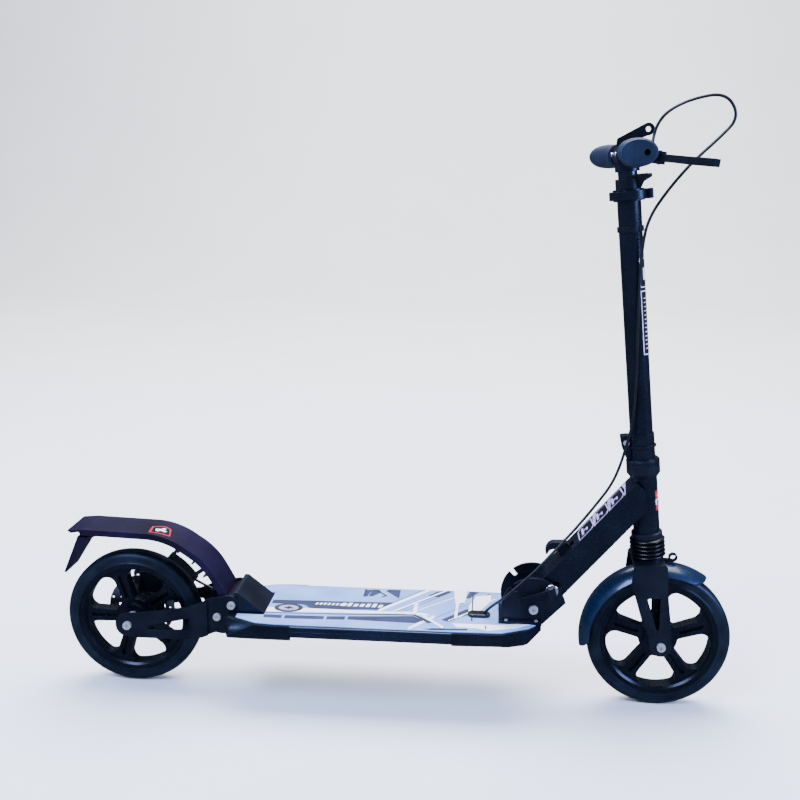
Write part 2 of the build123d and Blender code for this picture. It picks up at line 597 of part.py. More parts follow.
def fold_bracket():
    """Two notched sector plates on outward feet, with a thin floor and two bars into the deck."""
    base_back = PIVOT_X - 44.0
    base_front = PIVOT_X + 12.0
    sector = Pos(PIVOT_X, FOLD_PIVOT_Z) * Circle(SECTOR_RADIUS)
    ear = Pos(*polar(TUBE_ANGLE, LATCH_RADIUS)) * Circle(14)
    skirt = polygon((base_back, DECK_TOP), (base_front, DECK_TOP), polar(12, LATCH_RADIUS + 6),
                    polar(TUBE_ANGLE, 20), polar(150, SECTOR_RADIUS - 1), (base_back, FOLD_PIVOT_Z + 5))
    below = Pos(PIVOT_X, 0) * Rectangle(300, 2 * DECK_TOP)
    outline = sector + ear + skirt - below
    front_cut = polygon((base_front, DECK_TOP - 1), (base_front + 60, DECK_TOP - 1),
                        (base_front + 60, FOLD_PIVOT_Z + 40), polar(12, LATCH_RADIUS + 6))
    outline -= front_cut
    outline -= latch_track()
    outline -= Pos(PIVOT_X, FOLD_PIVOT_Z) * Circle(PIVOT_BOLT_RADIUS)
    plate = side_plate(outline, SECTOR_INNER_Y, SECTOR_INNER_Y + SECTOR_THICKNESS)
    foot = Pos(base_back, SECTOR_INNER_Y, DECK_TOP) * Box(
        base_front - base_back, FLANGE_Y - SECTOR_INNER_Y, FLANGE_TOP - DECK_TOP, align=Align.MIN)
    tail = Pos(base_back, 0, DECK_TOP) * Box(
        base_front - base_back, 2 * SECTOR_INNER_Y, 3, align=(Align.MIN, Align.CENTER, Align.MIN))
    body = tail
    for solid in both_sides(plate + foot):
        body += solid
    riser_x = PIVOT_X - 30
    for y in (FLOOR_BAR_LOW, -FLOOR_BAR_HIGH):
        width = FLOOR_BAR_HIGH - FLOOR_BAR_LOW
        bar_back = EXTRUSION_FRONT - 60
        body += Pos(riser_x - 10, y, TONGUE_LOW) * Box(20, width, DECK_TOP - TONGUE_LOW + 1, align=Align.MIN)
        body += Pos(bar_back, y, TONGUE_LOW) * Box(
            riser_x - bar_back, width, TONGUE_HIGH - TONGUE_LOW, align=Align.MIN)
    return body


def cable_port():
    """Oval grommet on the deck that the brake cable dives into."""
    base = Pos(PORT_X - 4, PORT_Y, DECK_TOP) * extrude(SlotOverall(PORT_LENGTH, PORT_WIDTH), amount=5.5)
    base = fillet(base.faces().sort_by(Axis.Z)[-1].edges(), 2)
    stub = Pos(PORT_X - 2, PORT_Y, CELL_HIGH + 0.2) * extrude(Circle(PORT_BORE - 0.1), amount=DECK_TOP - CELL_HIGH)
    return base + stub - cable_lower_solid - cable_rear_solid


def tube_frame(along, across=0.0):
    """A place along the down tube's centre line from the fold pivot, and off it at right angles."""
    angle = radians(TUBE_ANGLE)
    x = PIVOT_X + along * cos(angle) - across * sin(angle)
    z = FOLD_PIVOT_Z + along * sin(angle) + across * cos(angle)
    return x, z


def tube_length():
    """Length from the fold pivot to the steering axis along the tube's centre line."""
    angle = radians(TUBE_ANGLE)
    axis_at_pivot = stem_x(FOLD_PIVOT_Z)
    return (axis_at_pivot - PIVOT_X) / (cos(angle) + sin(angle) * tan(LEAN))


def down_tube():
    """Rectangular tube from the fold pivot, mitred onto the head tube."""
    half = TUBE_DEPTH / 2
    length = tube_length()
    outline = polygon(tube_frame(0, -half), tube_frame(length, -half), tube_frame(length, half),
                      tube_frame(0, half))
    outline += Pos(PIVOT_X, FOLD_PIVOT_Z) * Circle(half)
    inner_half = half - TUBE_WALL
    hollow = polygon(tube_frame(-half - 5, -inner_half), tube_frame(length, -inner_half),
                     tube_frame(length, inner_half), tube_frame(-half - 5, inner_half))
    body = side_plate(outline, -TUBE_WIDTH / 2, TUBE_WIDTH / 2)
    inner_y = TUBE_WIDTH / 2 - TUBE_WALL
    body -= side_plate(hollow, -inner_y, inner_y)
    body -= ring_y(PIVOT_X, FOLD_PIVOT_Z, 8, 0, -TUBE_WIDTH, TUBE_WIDTH)
    body -= on_stem(HEAD_TUBE_RADIUS, 0, S_HEAD - 60, S_UPPER_CUP + 60)
    body -= front_of_head()
    skewer_track = SlotOverall(LATCH_TRAVEL + 2 * SKEWER_RADIUS + 0.6, 2 * SKEWER_RADIUS + 0.6)
    x, z = tube_frame(LATCH_RADIUS + LATCH_TRAVEL / 2)
    body -= side_plate(Pos(x, z) * (Rot(0, 0, TUBE_ANGLE) * skewer_track), -TUBE_WIDTH, TUBE_WIDTH)
    window = polygon(tube_frame(HOOK_AT - 9, 0), tube_frame(HOOK_AT + 9 + LATCH_TRAVEL, 0),
                     tube_frame(HOOK_AT + 9 + LATCH_TRAVEL, half + 2), tube_frame(HOOK_AT - 9, half + 2))
    return body - side_plate(window, -HOOK_WIDTH / 2 - 0.5, HOOK_WIDTH / 2 + 0.5)


def front_of_head():
    """Everything ahead of the steering axis, which the mitre removes."""
    return STEM * Pos(0, 0, S_HEAD) * Box(100, 100, 300, align=(Align.MIN, Align.CENTER, Align.CENTER))


HOOK_AT = 85.0
HOOK_WIDTH = 14.0


def release_hook():
    """Finger hook above the tube, its stalk, and the carriage that lifts the skewer."""
    half = TUBE_DEPTH / 2
    stalk = polygon(tube_frame(HOOK_AT - 7.5, 8), tube_frame(HOOK_AT + 7.5, 8),
                    tube_frame(HOOK_AT + 7.5, half + 3), tube_frame(HOOK_AT - 7.5, half + 3))
    x = FRONT_X - 760
    claw = [
        Polyline(tube_frame(HOOK_AT + 12.8, half + 0.6), (x + 626, 236.6), (x + 608, 236)),
        ThreePointArc((x + 608, 236), (x + 600.4, 230), (x + 598.6, 219)),
        Polyline((x + 598.6, 219), (x + 601.3, 218.8)),
        ThreePointArc((x + 601.3, 218.8), (x + 605, 225), (x + 611, 226.6)),
        Polyline((x + 611, 226.6), (x + 618.5, 221.2), tube_frame(HOOK_AT - 7.5, half + 1.2),
                 tube_frame(HOOK_AT + 12.8, half + 0.6)),
    ]
    rod = polygon(tube_frame(LATCH_RADIUS - 6, 5), tube_frame(LATCH_RADIUS - 6, -5),
                  tube_frame(LATCH_RADIUS + 6, -5), tube_frame(LATCH_RADIUS + 6, 3),
                  tube_frame(HOOK_AT + 7.5, 3), tube_frame(HOOK_AT + 7.5, 10), tube_frame(LATCH_RADIUS + 12, 10))
    body = side_plate(make_face(claw) + stalk + rod, -HOOK_WIDTH / 2, HOOK_WIDTH / 2)
    return body - ring_y(*tube_frame(LATCH_RADIUS), SKEWER_RADIUS, 0, -30, 30)


PLATE_OUT = SECTOR_INNER_Y + SECTOR_THICKNESS
LEVER_Y = -(PLATE_OUT + 8.5)
LEVER_DIRECTION = (-0.94, -0.342)


def latch_skewer():
    """Skewer rod with a chrome dome washer and lever eye on the right and a nut on the left."""
    x, z = tube_frame(LATCH_RADIUS)
    rod = ring_y(x, z, SKEWER_RADIUS, 0, LEVER_Y + 5.2, PLATE_OUT + 8)
    dome = ring_y(x, z, 9.3, 0, -PLATE_OUT - 3.5, -PLATE_OUT - SIDE_GAP)
    dome = fillet(dome.edges().sort_by(Axis.Y)[0], 1.5)
    nut = ring_y(x, z, 7.5, 0, PLATE_OUT + SIDE_GAP, PLATE_OUT + 6)
    return rod + dome + nut


def fold_lever():
    """Cam lever on the skewer's right end."""
    x, z = tube_frame(LATCH_RADIUS)
    dx, dz = LEVER_DIRECTION
    tilt = degrees(atan2(dz, dx))
    arm = rounded(2.4, (-4, -6.5), (20, -5.5), (45, -6.5), (48, 0), (45, 6.5), (20, 5.5), (-4, 6.5))
    arm = side_plate(Pos(x, z) * (Rot(0, 0, tilt) * arm), LEVER_Y - 3, LEVER_Y + 1)
    barrel = Pos(x, LEVER_Y, z) * Rot(0, -tilt, 0) * Cylinder(4.95, 13)
    return arm + barrel


def pivot_sleeve():
    return ring_y(PIVOT_X, FOLD_PIVOT_Z, 8, PIVOT_BOLT_RADIUS + RUN_FIT, -SECTOR_INNER_Y + SIDE_GAP,
                  SECTOR_INNER_Y - SIDE_GAP)


# ---------------------------------------------------------------- head and steering
def head_tube():
    return on_stem(HEAD_TUBE_RADIUS, HEAD_TUBE_RADIUS - HEAD_TUBE_WALL, S_HEAD, S_UPPER_CUP)


BEARING_SEAT = UPPER_CUP_RADIUS - 2.3
BEARING_HEIGHT = 6.0


def headset_cups():
    inner = STEERER_RADIUS + 1
    lower = turned_on_stem((inner, S_HEAD), (inner, S_HEAD - 1.5), (BEARING_SEAT - 1.5, S_HEAD - 1.5),
                           (BEARING_SEAT - 1.5, S_LOWER_CUP), (UPPER_CUP_RADIUS - 1.5, S_LOWER_CUP),
                           (UPPER_CUP_RADIUS - 1.5, S_HEAD - 1), (HEAD_TUBE_RADIUS + 1, S_HEAD))
    top = S_UPPER_CUP + UPPER_CUP_HEIGHT
    upper = turned_on_stem((inner, S_UPPER_CUP), (HEAD_TUBE_RADIUS + 1, S_UPPER_CUP),
                           (UPPER_CUP_RADIUS, S_UPPER_CUP + 5), (UPPER_CUP_RADIUS, top),
                           (BEARING_SEAT, top), (BEARING_SEAT, S_UPPER_CUP + 2), (inner, S_UPPER_CUP + 2))
    return [lower, upper]


def headset_bearings():
    inner = STEERER_RADIUS + RUN_FIT
    lower_top = S_HEAD - 1.5
    upper_low = S_UPPER_CUP + 2
    return [on_stem(BEARING_SEAT - 1.5, inner, lower_top - BEARING_HEIGHT, lower_top),
            on_stem(BEARING_SEAT, inner, upper_low, upper_low + BEARING_HEIGHT)]


def steerer_tube():
    """Tube that turns in the headset, plugged above the spring."""
    tube = on_stem(STEERER_RADIUS, STEERER_RADIUS - STEERER_WALL, S_LOWER_CUP, S_STEM + CLAMP_LENGTH)
    return tube + on_stem(STEERER_RADIUS - 1, 0, SPRING_HIGH, SPRING_HIGH + 5)


def stem_clamp():
    """Headset top cap, sleeve round the stem's foot, and the latch block behind it."""
    cap = turned_on_stem((STEERER_RADIUS, S_TOP_CAP), (UPPER_CUP_RADIUS, S_TOP_CAP),
                         (UPPER_CUP_RADIUS, S_STEM - 2), (UPPER_CUP_RADIUS - 2, S_STEM),
                         (STEERER_RADIUS, S_STEM))
    sleeve = on_stem(OUTER_STEM_RADIUS + 1.7, OUTER_STEM_RADIUS, S_STEM, S_STEM + CLAMP_LENGTH)
    block = rounded(2, (-16.5, S_STEM), (-16.5, S_STEM + CLAMP_LENGTH - 1), (-29, S_STEM + CLAMP_LENGTH - 1),
                    (-27, S_STEM + 16), (-22, S_STEM))
    block = STEM * side_plate(block, -8, 8)
    block -= on_stem(OUTER_STEM_RADIUS + 1, 0, S_STEM - 1, S_STEM + CLAMP_LENGTH + 1)
    groove = STEM * Pos(-26, 0, S_STEM + CLAMP_LENGTH / 2) * Box(12, 2.4, CLAMP_LENGTH + 2)
    bolt_hole = STEM * Pos(-22, 0, S_STEM + 24) * Rot(90, 0, 0) * Cylinder(2.5, 30)
    return cap + sleeve + (block - groove) - bolt_hole


def stem_clamp_bolt():
    """Cross bolt of the latch block."""
    shank = Pos(-22, 0, S_STEM + 24) * Rot(90, 0, 0) * Cylinder(2.5, 18)
    head = Pos(-22, -9.5, S_STEM + 24) * Rot(90, 0, 0) * Cylinder(3.8, 3)
    return STEM * (shank + head)


def height_collar():
    """Split ring that squeezes the outer tube, with two ears in front."""
    ring = on_stem(COLLAR_RADIUS, OUTER_STEM_RADIUS, S_COLLAR, S_STEM_TOP)
    mid = (S_COLLAR + S_STEM_TOP) / 2
    for side in (1, -1):
        ring += STEM * Pos(24, side * 4.25, mid) * Box(14, 5.5, COLLAR_HEIGHT - 2)
    ring -= on_stem(OUTER_STEM_RADIUS, 0, S_COLLAR - 1, S_STEM_TOP + 1)
    ring -= STEM * Pos(24, 0, mid) * Box(26, 3, COLLAR_HEIGHT + 2)
    return ring - STEM * Pos(26, 0, mid) * Rot(90, 0, 0) * Cylinder(2.4, 40)


def collar_skewer():
    mid = (S_COLLAR + S_STEM_TOP) / 2
    rod = Pos(26, 0, mid) * Rot(90, 0, 0) * Cylinder(2.4, 18)
    nut = Pos(26, 9.5, mid) * Rot(90, 0, 0) * Cylinder(4.5, 4.5)
    return STEM * (rod + nut)


def collar_lever():
    """Cam lever that wraps round the collar's right side."""
    mid = (S_COLLAR + S_STEM_TOP) / 2
    barrel = Pos(26, -13.5, mid) * Cylinder(4.2, COLLAR_HEIGHT - 3)
    band = Circle(COLLAR_RADIUS + 6) - Circle(COLLAR_RADIUS + 1.5)
    far = 3 * COLLAR_RADIUS
    lower = polygon((0, 0), (far * cos(radians(-28)), far * sin(radians(-28))), (far, -far), (-far, -far),
                    (far * cos(radians(-168)), far * sin(radians(-168))))
    arm = Pos(0, 0, mid - COLLAR_HEIGHT / 2 + 2) * extrude(band & lower, amount=COLLAR_HEIGHT - 4)
    return STEM * (barrel + arm)


def handle_clip():
    """Plastic clip above the collar whose arms hold the taken-off handles."""
    low = S_STEM_TOP + SIDE_GAP
    body = on_stem(OUTER_STEM_RADIUS + 1, INNER_STEM_RADIUS + 0.4, low, low + 13)
    wing = rounded(1.2, (13.5, low + 1), (17, low + 1), (21, low + 8), (33, low + 13.5), (33, low + 18),
                   (20, low + 18), (13.5, low + 13))
    for turn in (38, -38):
        arm = STEM * Rot(0, 0, turn) * side_plate(wing, -5, 5)
        body += arm
    return body - on_stem(INNER_STEM_RADIUS + 0.4, 0, low - 1, low + 30)


def stem_bushing():
    """Plastic sleeve in the outer tube's mouth."""
    return on_stem(STEM_BORE, INNER_STEM_RADIUS + RUN_FIT, S_STEM_TOP - 30, S_STEM_TOP)


STEM_BORE = OUTER_STEM_RADIUS - TUBE_GAUGE
BUSHING_FIT = RUN_FIT


def outer_stem():
    tube = on_stem(OUTER_STEM_RADIUS, STEM_BORE, S_STEM, S_STEM_TOP)
    slit = STEM * Pos(OUTER_STEM_RADIUS, 0, S_STEM_TOP) * Box(
        OUTER_STEM_RADIUS, 2.4, 2 * (COLLAR_HEIGHT + 6), align=(Align.CENTER, Align.CENTER, Align.CENTER))
    return tube - slit


def inner_stem():
    bottom = S_BAR - T_SLEEVE_RADIUS + 2 - BAR_TRAVEL - 100
    return on_stem(INNER_STEM_RADIUS, INNER_STEM_RADIUS - TUBE_GAUGE, bottom, S_BAR - T_SLEEVE_RADIUS + 2)


# ---------------------------------------------------------------- fork
def fork_plate():
    x = FRONT_X
    slot = rounded(2, (x - 22, AXLE_Z + 70), (x - 4, AXLE_Z + 70.8), (x - 3.5, AXLE_Z + 12))
    outline = rounded(4, (x - 42, CROWN_TOP), (x + 3, CROWN_TOP + 2), (x + 6, AXLE_Z + 76.5),
                      (x + 11, AXLE_Z + 39), (x + 14.7, AXLE_Z), (x - 14.7, AXLE_Z - 2),
                      (x - 35.8, AXLE_Z + 67), (x - 44.5, AXLE_Z + 86))
    outline += Pos(x, AXLE_Z) * Circle(15)
    outline -= slot
    outline -= Pos(x, AXLE_Z) * Circle(AXLE_RADIUS)
    return side_plate(outline, FRONT_PLATE_INNER_Y, FRONT_PLATE_INNER_Y + FRONT_PLATE_THICKNESS)


def fork_crown():
    """Bridge between the plates with the tube that slides in the steerer, and a strap eye in front."""
    low = CROWN_LOW
    bridge = side_plate(polygon((FRONT_X - 41, low), (FRONT_X + 2, low), (FRONT_X + 2, CROWN_TOP),
                                (FRONT_X - 41, CROWN_TOP)), -FRONT_PLATE_INNER_Y, FRONT_PLATE_INNER_Y)
    slider = on_stem(STEERER_RADIUS - STEERER_WALL - RUN_FIT, 8, S_CROWN - 3, SPRING_LOW)
    slider += on_stem(STEERER_RADIUS - STEERER_WALL - RUN_FIT, 0, SPRING_LOW - 3, SPRING_LOW)
    slider += on_stem(BELLOWS_RADIUS - 3.5, 8, S_CROWN - 3, S_CROWN + CROWN_BOSS)
    x = FRONT_X
    eye = polygon((x + 1, low + 0.6), (x + 15.2, low + 0.6), (x + 15.2, CROWN_TOP - 0.5), (x + 1, CROWN_TOP - 0.5))
    eye += Pos(*CROWN_EYE) * Circle(6.2)
    eye -= Pos(*CROWN_EYE) * Circle(STRAP_EYE_RADIUS)
    return bridge + slider + side_plate(eye, -2.5, 2.5)


STRAP_EYE_RADIUS = 3.5
CROWN_EYE = (FRONT_X + 15.2, CROWN_LOW + 7.2)


def front_fender():
    """Crowned shell round the front wheel, rounded at both tips."""
    edge_r = FRONT_FENDER_RADIUS - FRONT_FENDER_CROWN
    w = FRONT_FENDER_HALF_WIDTH
    t = FRONT_FENDER_SKIN
    section = make_face([
        ThreePointArc((edge_r, -w), (FRONT_FENDER_RADIUS, 0), (edge_r, w)),
        Polyline((edge_r, w), (edge_r - 0.5, w - t)),
        ThreePointArc((edge_r - 0.5, w - t), (FRONT_FENDER_RADIUS - t, 0), (edge_r - 0.5, t - w)),
        Polyline((edge_r - 0.5, t - w), (edge_r, -w)),
    ])
    start, end = 55.6, 189.0
    tip = degrees(w / FRONT_FENDER_RADIUS)
    main = Rot(0, -(start + tip), 0) * revolve(section, axis=Axis.Y, revolution_arc=-(end - start - 2 * tip))
    shell = main
    for angle, sign in ((start + tip, 1), (end - tip, -1)):
        piece = Rot(0, -angle, 0) * revolve(section, axis=Axis.Y, revolution_arc=sign * tip * 1.2)
        cutter = Rot(0, -angle, 0) * Pos(FRONT_FENDER_RADIUS, 0, 0) * Rot(0, 90, 0) * Cylinder(w + 0.05, 60)
        shell += piece & cutter
    return Pos(FRONT_X, 0, AXLE_Z) * shell


def bellows():
    """Rubber bellows with five folds between crown and headset."""
    low, high = S_CROWN + CROWN_BOSS + 0.3, S_LOWER_CUP - 0.2
    pitch = (high - low) / BELLOWS_FOLDS
    valley = BELLOWS_RADIUS - 4.5
    outer = [(valley, low)]
    for index in range(BELLOWS_FOLDS):
        outer.append((BELLOWS_RADIUS, low + pitch * (index + 0.5) - 1))
        outer.append((BELLOWS_RADIUS, low + pitch * (index + 0.5) + 1))
        outer.append((valley, low + pitch * (index + 1)))
    bore = STEERER_RADIUS + 2
    return turned_on_stem((bore, low), *outer, (bore, high))


def suspension_spring():
    """Coil spring inside the steerer."""
    wire = 1.3
    radius = STEERER_RADIUS - STEERER_WALL - wire - 0.7
    height = SPRING_HIGH - SPRING_LOW - 2 * wire - 0.2
    coil = Helix(pitch=7, height=height, radius=radius)
    body = sweep(Plane(coil @ 0, z_dir=coil % 0) * Circle(wire), path=coil)
    return STEM * Pos(0, 0, SPRING_LOW + wire + 0.1) * body


# ---------------------------------------------------------------- T-bar, grips and brake lever
EYE_HOLE = (26.0, 32.6)
BUTTON_Y = 24.0
BUTTON_RADIUS = 3.0
PERCH_LOW = 64.0
PERCH_HIGH = 80.0


def at_bar(shape):
    """Place a shape drawn around the handlebar's axis."""
    return Pos(BAR.X, 0, BAR.Z) * shape


def button_hole(side):
    return Pos(-15, side * BUTTON_Y, 0) * Rot(0, 90, 0) * Cylinder(BUTTON_RADIUS + 0.1, 20)


def t_joint():
    """Cross sleeve for the handles, socket for the stem, and the strap eye plate on top."""
    body = ring_y(0, 0, T_SLEEVE_RADIUS, 0, -T_SLEEVE_HALF, T_SLEEVE_HALF)
    for solid in both_sides(ring_y(0, 0, T_SLEEVE_RADIUS + 1.5, 0, T_SLEEVE_HALF - 5, T_SLEEVE_HALF)):
        body += solid
    socket = Rot(0, -STEM_LEAN, 0) * Cylinder(T_SLEEVE_RADIUS, 21, align=(Align.CENTER, Align.CENTER, Align.MAX))
    body += socket
    plate = rounded(2, (-14, 6), (8, 6), (15, 20), (EYE_HOLE[0] + 5, EYE_HOLE[1] - 6),
                    (EYE_HOLE[0] - 3.5, EYE_HOLE[1] + 7.2), (-13, 20.5))
    plate += Pos(*EYE_HOLE) * Circle(8)
    plate -= Pos(*EYE_HOLE) * Circle(STRAP_EYE_RADIUS)
    body += side_plate(plate, -2.5, 2.5)
    body -= ring_y(0, 0, BAR_TUBE_RADIUS, 0, -T_SLEEVE_HALF - 1, T_SLEEVE_HALF + 1)
    for side in (1, -1):
        body -= button_hole(side)
    body = at_bar(body)
    return body - on_stem(INNER_STEM_RADIUS, 0, S_BAR - 40, S_BAR - T_SLEEVE_RADIUS + 2)


def handle_tube():
    tube = ring_y(0, 0, BAR_TUBE_RADIUS, BAR_TUBE_RADIUS - TUBE_GAUGE, 4, BAR_HALF_WIDTH - 6)
    return at_bar(tube - button_hole(1))


def handle_button(side):
    rod = Pos(-9.5, side * BUTTON_Y, 0) * Rot(0, -90, 0) * Cylinder(
        BUTTON_RADIUS, 8.5, align=(Align.CENTER, Align.CENTER, Align.MIN))
    return at_bar(fillet(rod.edges().sort_by(Axis.X)[0], 1))


def grip(side):
    """Rubber grip, round beside the perch and widening into a palm rest at its end."""
    root = BAR_HALF_WIDTH - GRIP_LENGTH
    stations = (
        (root, 0.0, 16.0, 16.0),
        (root + 18, 0.0, 15.2, 15.2),
        (root + 55, -4.0, 17.5, 16.6),
        (root + 88, -9.0, 22.0, 16.5),
        (BAR_HALF_WIDTH - 3, -9.0, 21.8, 16.0),
        (BAR_HALF_WIDTH, -9.0, 19.5, 13.8),
    )
    sections = []
    for y, centre, half_x, half_z in stations:
        sections.append(Plane.XZ.offset(-y) * (Pos(centre, 0) * Ellipse(half_x, half_z)))
    body = loft(sections[:5], ruled=False) + loft(sections[4:], ruled=True)
    body -= ring_y(0, 0, BAR_TUBE_RADIUS, 0, 0, BAR_HALF_WIDTH - 6)
    body -= ring_y(0, 0, 3.5, 0, 0, BAR_HALF_WIDTH + 1)
    body = at_bar(body)
    return body if side > 0 else mirror(body, about=Plane.XZ)


def drooped(shape):
    """Turn the lever set down a little about the handlebar, and place it."""
    return at_bar(Rot(0, LEVER_DROOP, 0) * shape)


LEVER_PIVOT = (30.0, -(PERCH_HIGH + 4.0))


def brake_perch():
    """Clamp on the right handle tube with the housing that holds the lever and the cable."""
    ring = ring_y(0, 0, 17, BAR_TUBE_RADIUS, -PERCH_HIGH, -PERCH_LOW)
    arm = Pos(13, -PERCH_HIGH, -6.5) * Box(10, PERCH_HIGH - PERCH_LOW, 13, align=Align.MIN)
    lug = rounded(2.5, (16, -62), (33, -66), (38, -78), (37, -91), (24, -91), (16, -80))
    jaw = Pos(0, 0, -7.5) * extrude(lug, amount=15)
    gap = Pos(LEVER_PIVOT[0], LEVER_PIVOT[1], 0) * Box(30, 24, 9.4)
    body = ring + arm + (jaw - gap)
    body -= ring_y(0, 0, BAR_TUBE_RADIUS, 0, -PERCH_HIGH - 5, -PERCH_LOW + 5)
    pin = Pos(LEVER_PIVOT[0], LEVER_PIVOT[1], 0) * Cylinder(2, 17)
    barrel = Pos(27, -60, 0) * Rot(90, 0, 0) * Cylinder(4, 12)
    return drooped(body + pin + barrel)


def brake_lever():
    """Flat two-finger lever blade, swung about the perch pin."""
    px, py = LEVER_PIVOT
    blade = [
        Polyline((px - 5, py + 5), (px + 5, py + 5)),
        Spline((px + 5, py + 5), (px + 26, py - 30), (px + 54, py - 97), tangents=((0.2, -1), (0.35, -1))),
        Polyline((px + 54, py - 97), (px + 46, py - 99)),
        Spline((px + 46, py - 99), (px + 16, py - 32), (px - 5, py + 5), tangents=((-0.35, 1), (-0.6, 1))),
    ]
    body = Pos(0, 0, -4.5) * extrude(make_face(blade), amount=9)
    return drooped(body - Pos(px, py, 0) * Cylinder(2 + RUN_FIT, 20))


# ---------------------------------------------------------------- brake cable
def cable(points, name):
    """A cable of straight runs joined by tangent arcs, as large as each pair of runs allows."""
    vectors = [Vector(*p) for p in points]
    radii = []
    for before, here, after in zip(vectors, vectors[1:], vectors[2:]):
        run = min((here - before).length, (after - here).length)
        turn = radians((here - before).get_angle(after - here))
        radii.append(0.45 * run / tan(turn / 2))
    path = FilletPolyline(*points, radius=radii)
    solid = sweep(Plane(path @ 0, z_dir=path % 0) * Circle(CABLE_DIAMETER / 2), path=path)
    expected = 3.14159265 * (CABLE_DIAMETER / 2) ** 2 * path.length
    print(name, "length", round(path.length), "volume", round(solid.volume / expected, 4),
          "radii", [round(r) for r in radii])
    return solid, [path @ (step / 400) for step in range(401)]


X0 = FRONT_X - 760.0
UPPER_ROUTE = [
    (X0 + 711.2, -53.3, 762.8), (X0 + 711.5, -38.0, 767.0), (X0 + 713.0, -26.0, 784.0),
    (X0 + 717.0, -27.0, 803.0), (X0 + 729.0, -33.0, 820.0), (X0 + 757.0, -39.0, 834.0),
    (X0 + 797.0, -44.0, 841.0), (X0 + 815.0, -44.0, 811.0), (X0 + 790.0, -41.0, 784.0),
    (X0 + 762.0, -36.0, 757.0), (X0 + 735.0, -27.0, 722.0), (X0 + 714.0, -18.5, 686.0),
    (X0 + 708.3, -16.8, 650.0), (X0 + 707.0, -17.4, 600.0), (X0 + 708.0, -18.3, 540.0),
    (X0 + 709.5, -18.3, 480.0), (X0 + 709.3, -18.4, 428.0), (X0 + 705.0, -19.0, 398.0),
    (X0 + 700.0, -17.0, 376.0),
]
LOWER_ROUTE = [
    (X0 + 699.85, -17.0, 375.4), (X0 + 694.0, -17.0, 352.0), (X0 + 683.0, -18.0, 325.0),
    (X0 + 664.0, -20.0, 298.0), (X0 + 640.0, -24.0, 267.0), (X0 + 612.0, -31.0, 236.0),
    (X0 + 585.0, -37.0, 206.0), (X0 + 560.0, -38.0, 181.0), (X0 + 540.0, -36.0, 161.0),
    (X0 + 526.0, -24.5, 146.0), (X0 + 517.5, -15.0, 134.0), (X0 + 511.5, -13.0, 126.0),
]
REAR_ROUTE = [
    (X0 + 511.2, -12.9, 125.6), (X0 + 505.0, -11.3, 118.0), (X0 + 490.0, -10.6, 115.0),
    (X0 + 440.0, -9.0, 115.5), (X0 + 330.0, -8.0, 115.3), (X0 + 245.0, -3.0, 115.5),
    (X0 + 205.0, 14.0, 114.5), (X0 + 172.0, 22.0, 114.7), (X0 + 150.0, 22.5, 116.0),
    (X0 + 131.0, 24.0, 126.5), (X0 + 108.0, 25.5, 133.5), (X0 + 86.0, 28.0, 144.0),
    (X0 + 66.0, 33.5, 152.5), (X0 + 47.0, 39.5, 157.0), (X0 + 30.3, 41.8, 157.5),
]

cable_upper_solid, UPPER_ROUTE_LINE = cable(UPPER_ROUTE, "upper")
cable_lower_solid, _ = cable(LOWER_ROUTE, "lower")
cable_rear_solid, _ = cable(REAR_ROUTE, "rear")
rear_fender_solid = rear_fender()
stem_clamp_solid = stem_clamp()


CLIP_Z = 668.0
TIE_Z = 378.0


def cable_clips():
    """Clip ring high on the stem and a tie at its foot, each looped round the cable."""
    pieces = []
    sleeve = OUTER_STEM_RADIUS + 1.7
    for z, radius, height in ((CLIP_Z, OUTER_STEM_RADIUS, 7), (TIE_Z, sleeve, 3)):
        s = up_stem(z)
        band = on_stem(radius + 2, 0, s, s + height)
        cut = on_stem(radius, 0, s - 1, s + height + 1)
        middle = (s + height / 2) * cos(LEAN) + STEM.origin.Z
        near = min(UPPER_ROUTE_LINE, key=lambda p: abs(p.Z - middle))
        local = STEM.to_local_coords(near)
        loop = STEM * Pos(local.X, local.Y, s) * extrude(Circle(CABLE_DIAMETER / 2 + 1.8), amount=height)
        if radius == sleeve:
            band &= STEM * Pos(0, -radius, s) * Box(4 * radius, 2 * radius, 20)
            cut += stem_clamp_solid
        piece = band + loop - cut - cable_upper_solid - cable_lower_solid
        pieces.append(piece.solids().sort_by(SortBy.VOLUME)[-1])
    return pieces


def deck_bolts():
    """Screws of the heel bracket, the fold bracket feet and the cross bolt of the rear fork."""
    bolts = hex_bolt(*CROSS_BOLT, AXLE_RADIUS - RUN_FIT, -REAR_PLATE_INNER_Y, REAR_PLATE_INNER_Y, head=5.5, height=4)
    for x in (PIVOT_X - 38, PIVOT_X + 4):
        for side in (1, -1):
            y = side * (FLANGE_Y - 3)
            bolts.append(Pos(x, y, FLANGE_TOP) * extrude(RegularPolygon(2.6, 6), amount=1.6))
    return bolts


def pivot_bolts():
    fold = hex_bolt(PIVOT_X, FOLD_PIVOT_Z, PIVOT_BOLT_RADIUS, -PLATE_OUT, PLATE_OUT, head=6.4, height=4)
    fender = hex_bolt(*FENDER_PIN, AXLE_RADIUS, -REAR_PLATE_INNER_Y, REAR_PLATE_INNER_Y, head=5.8, height=4)
    return fold + fender


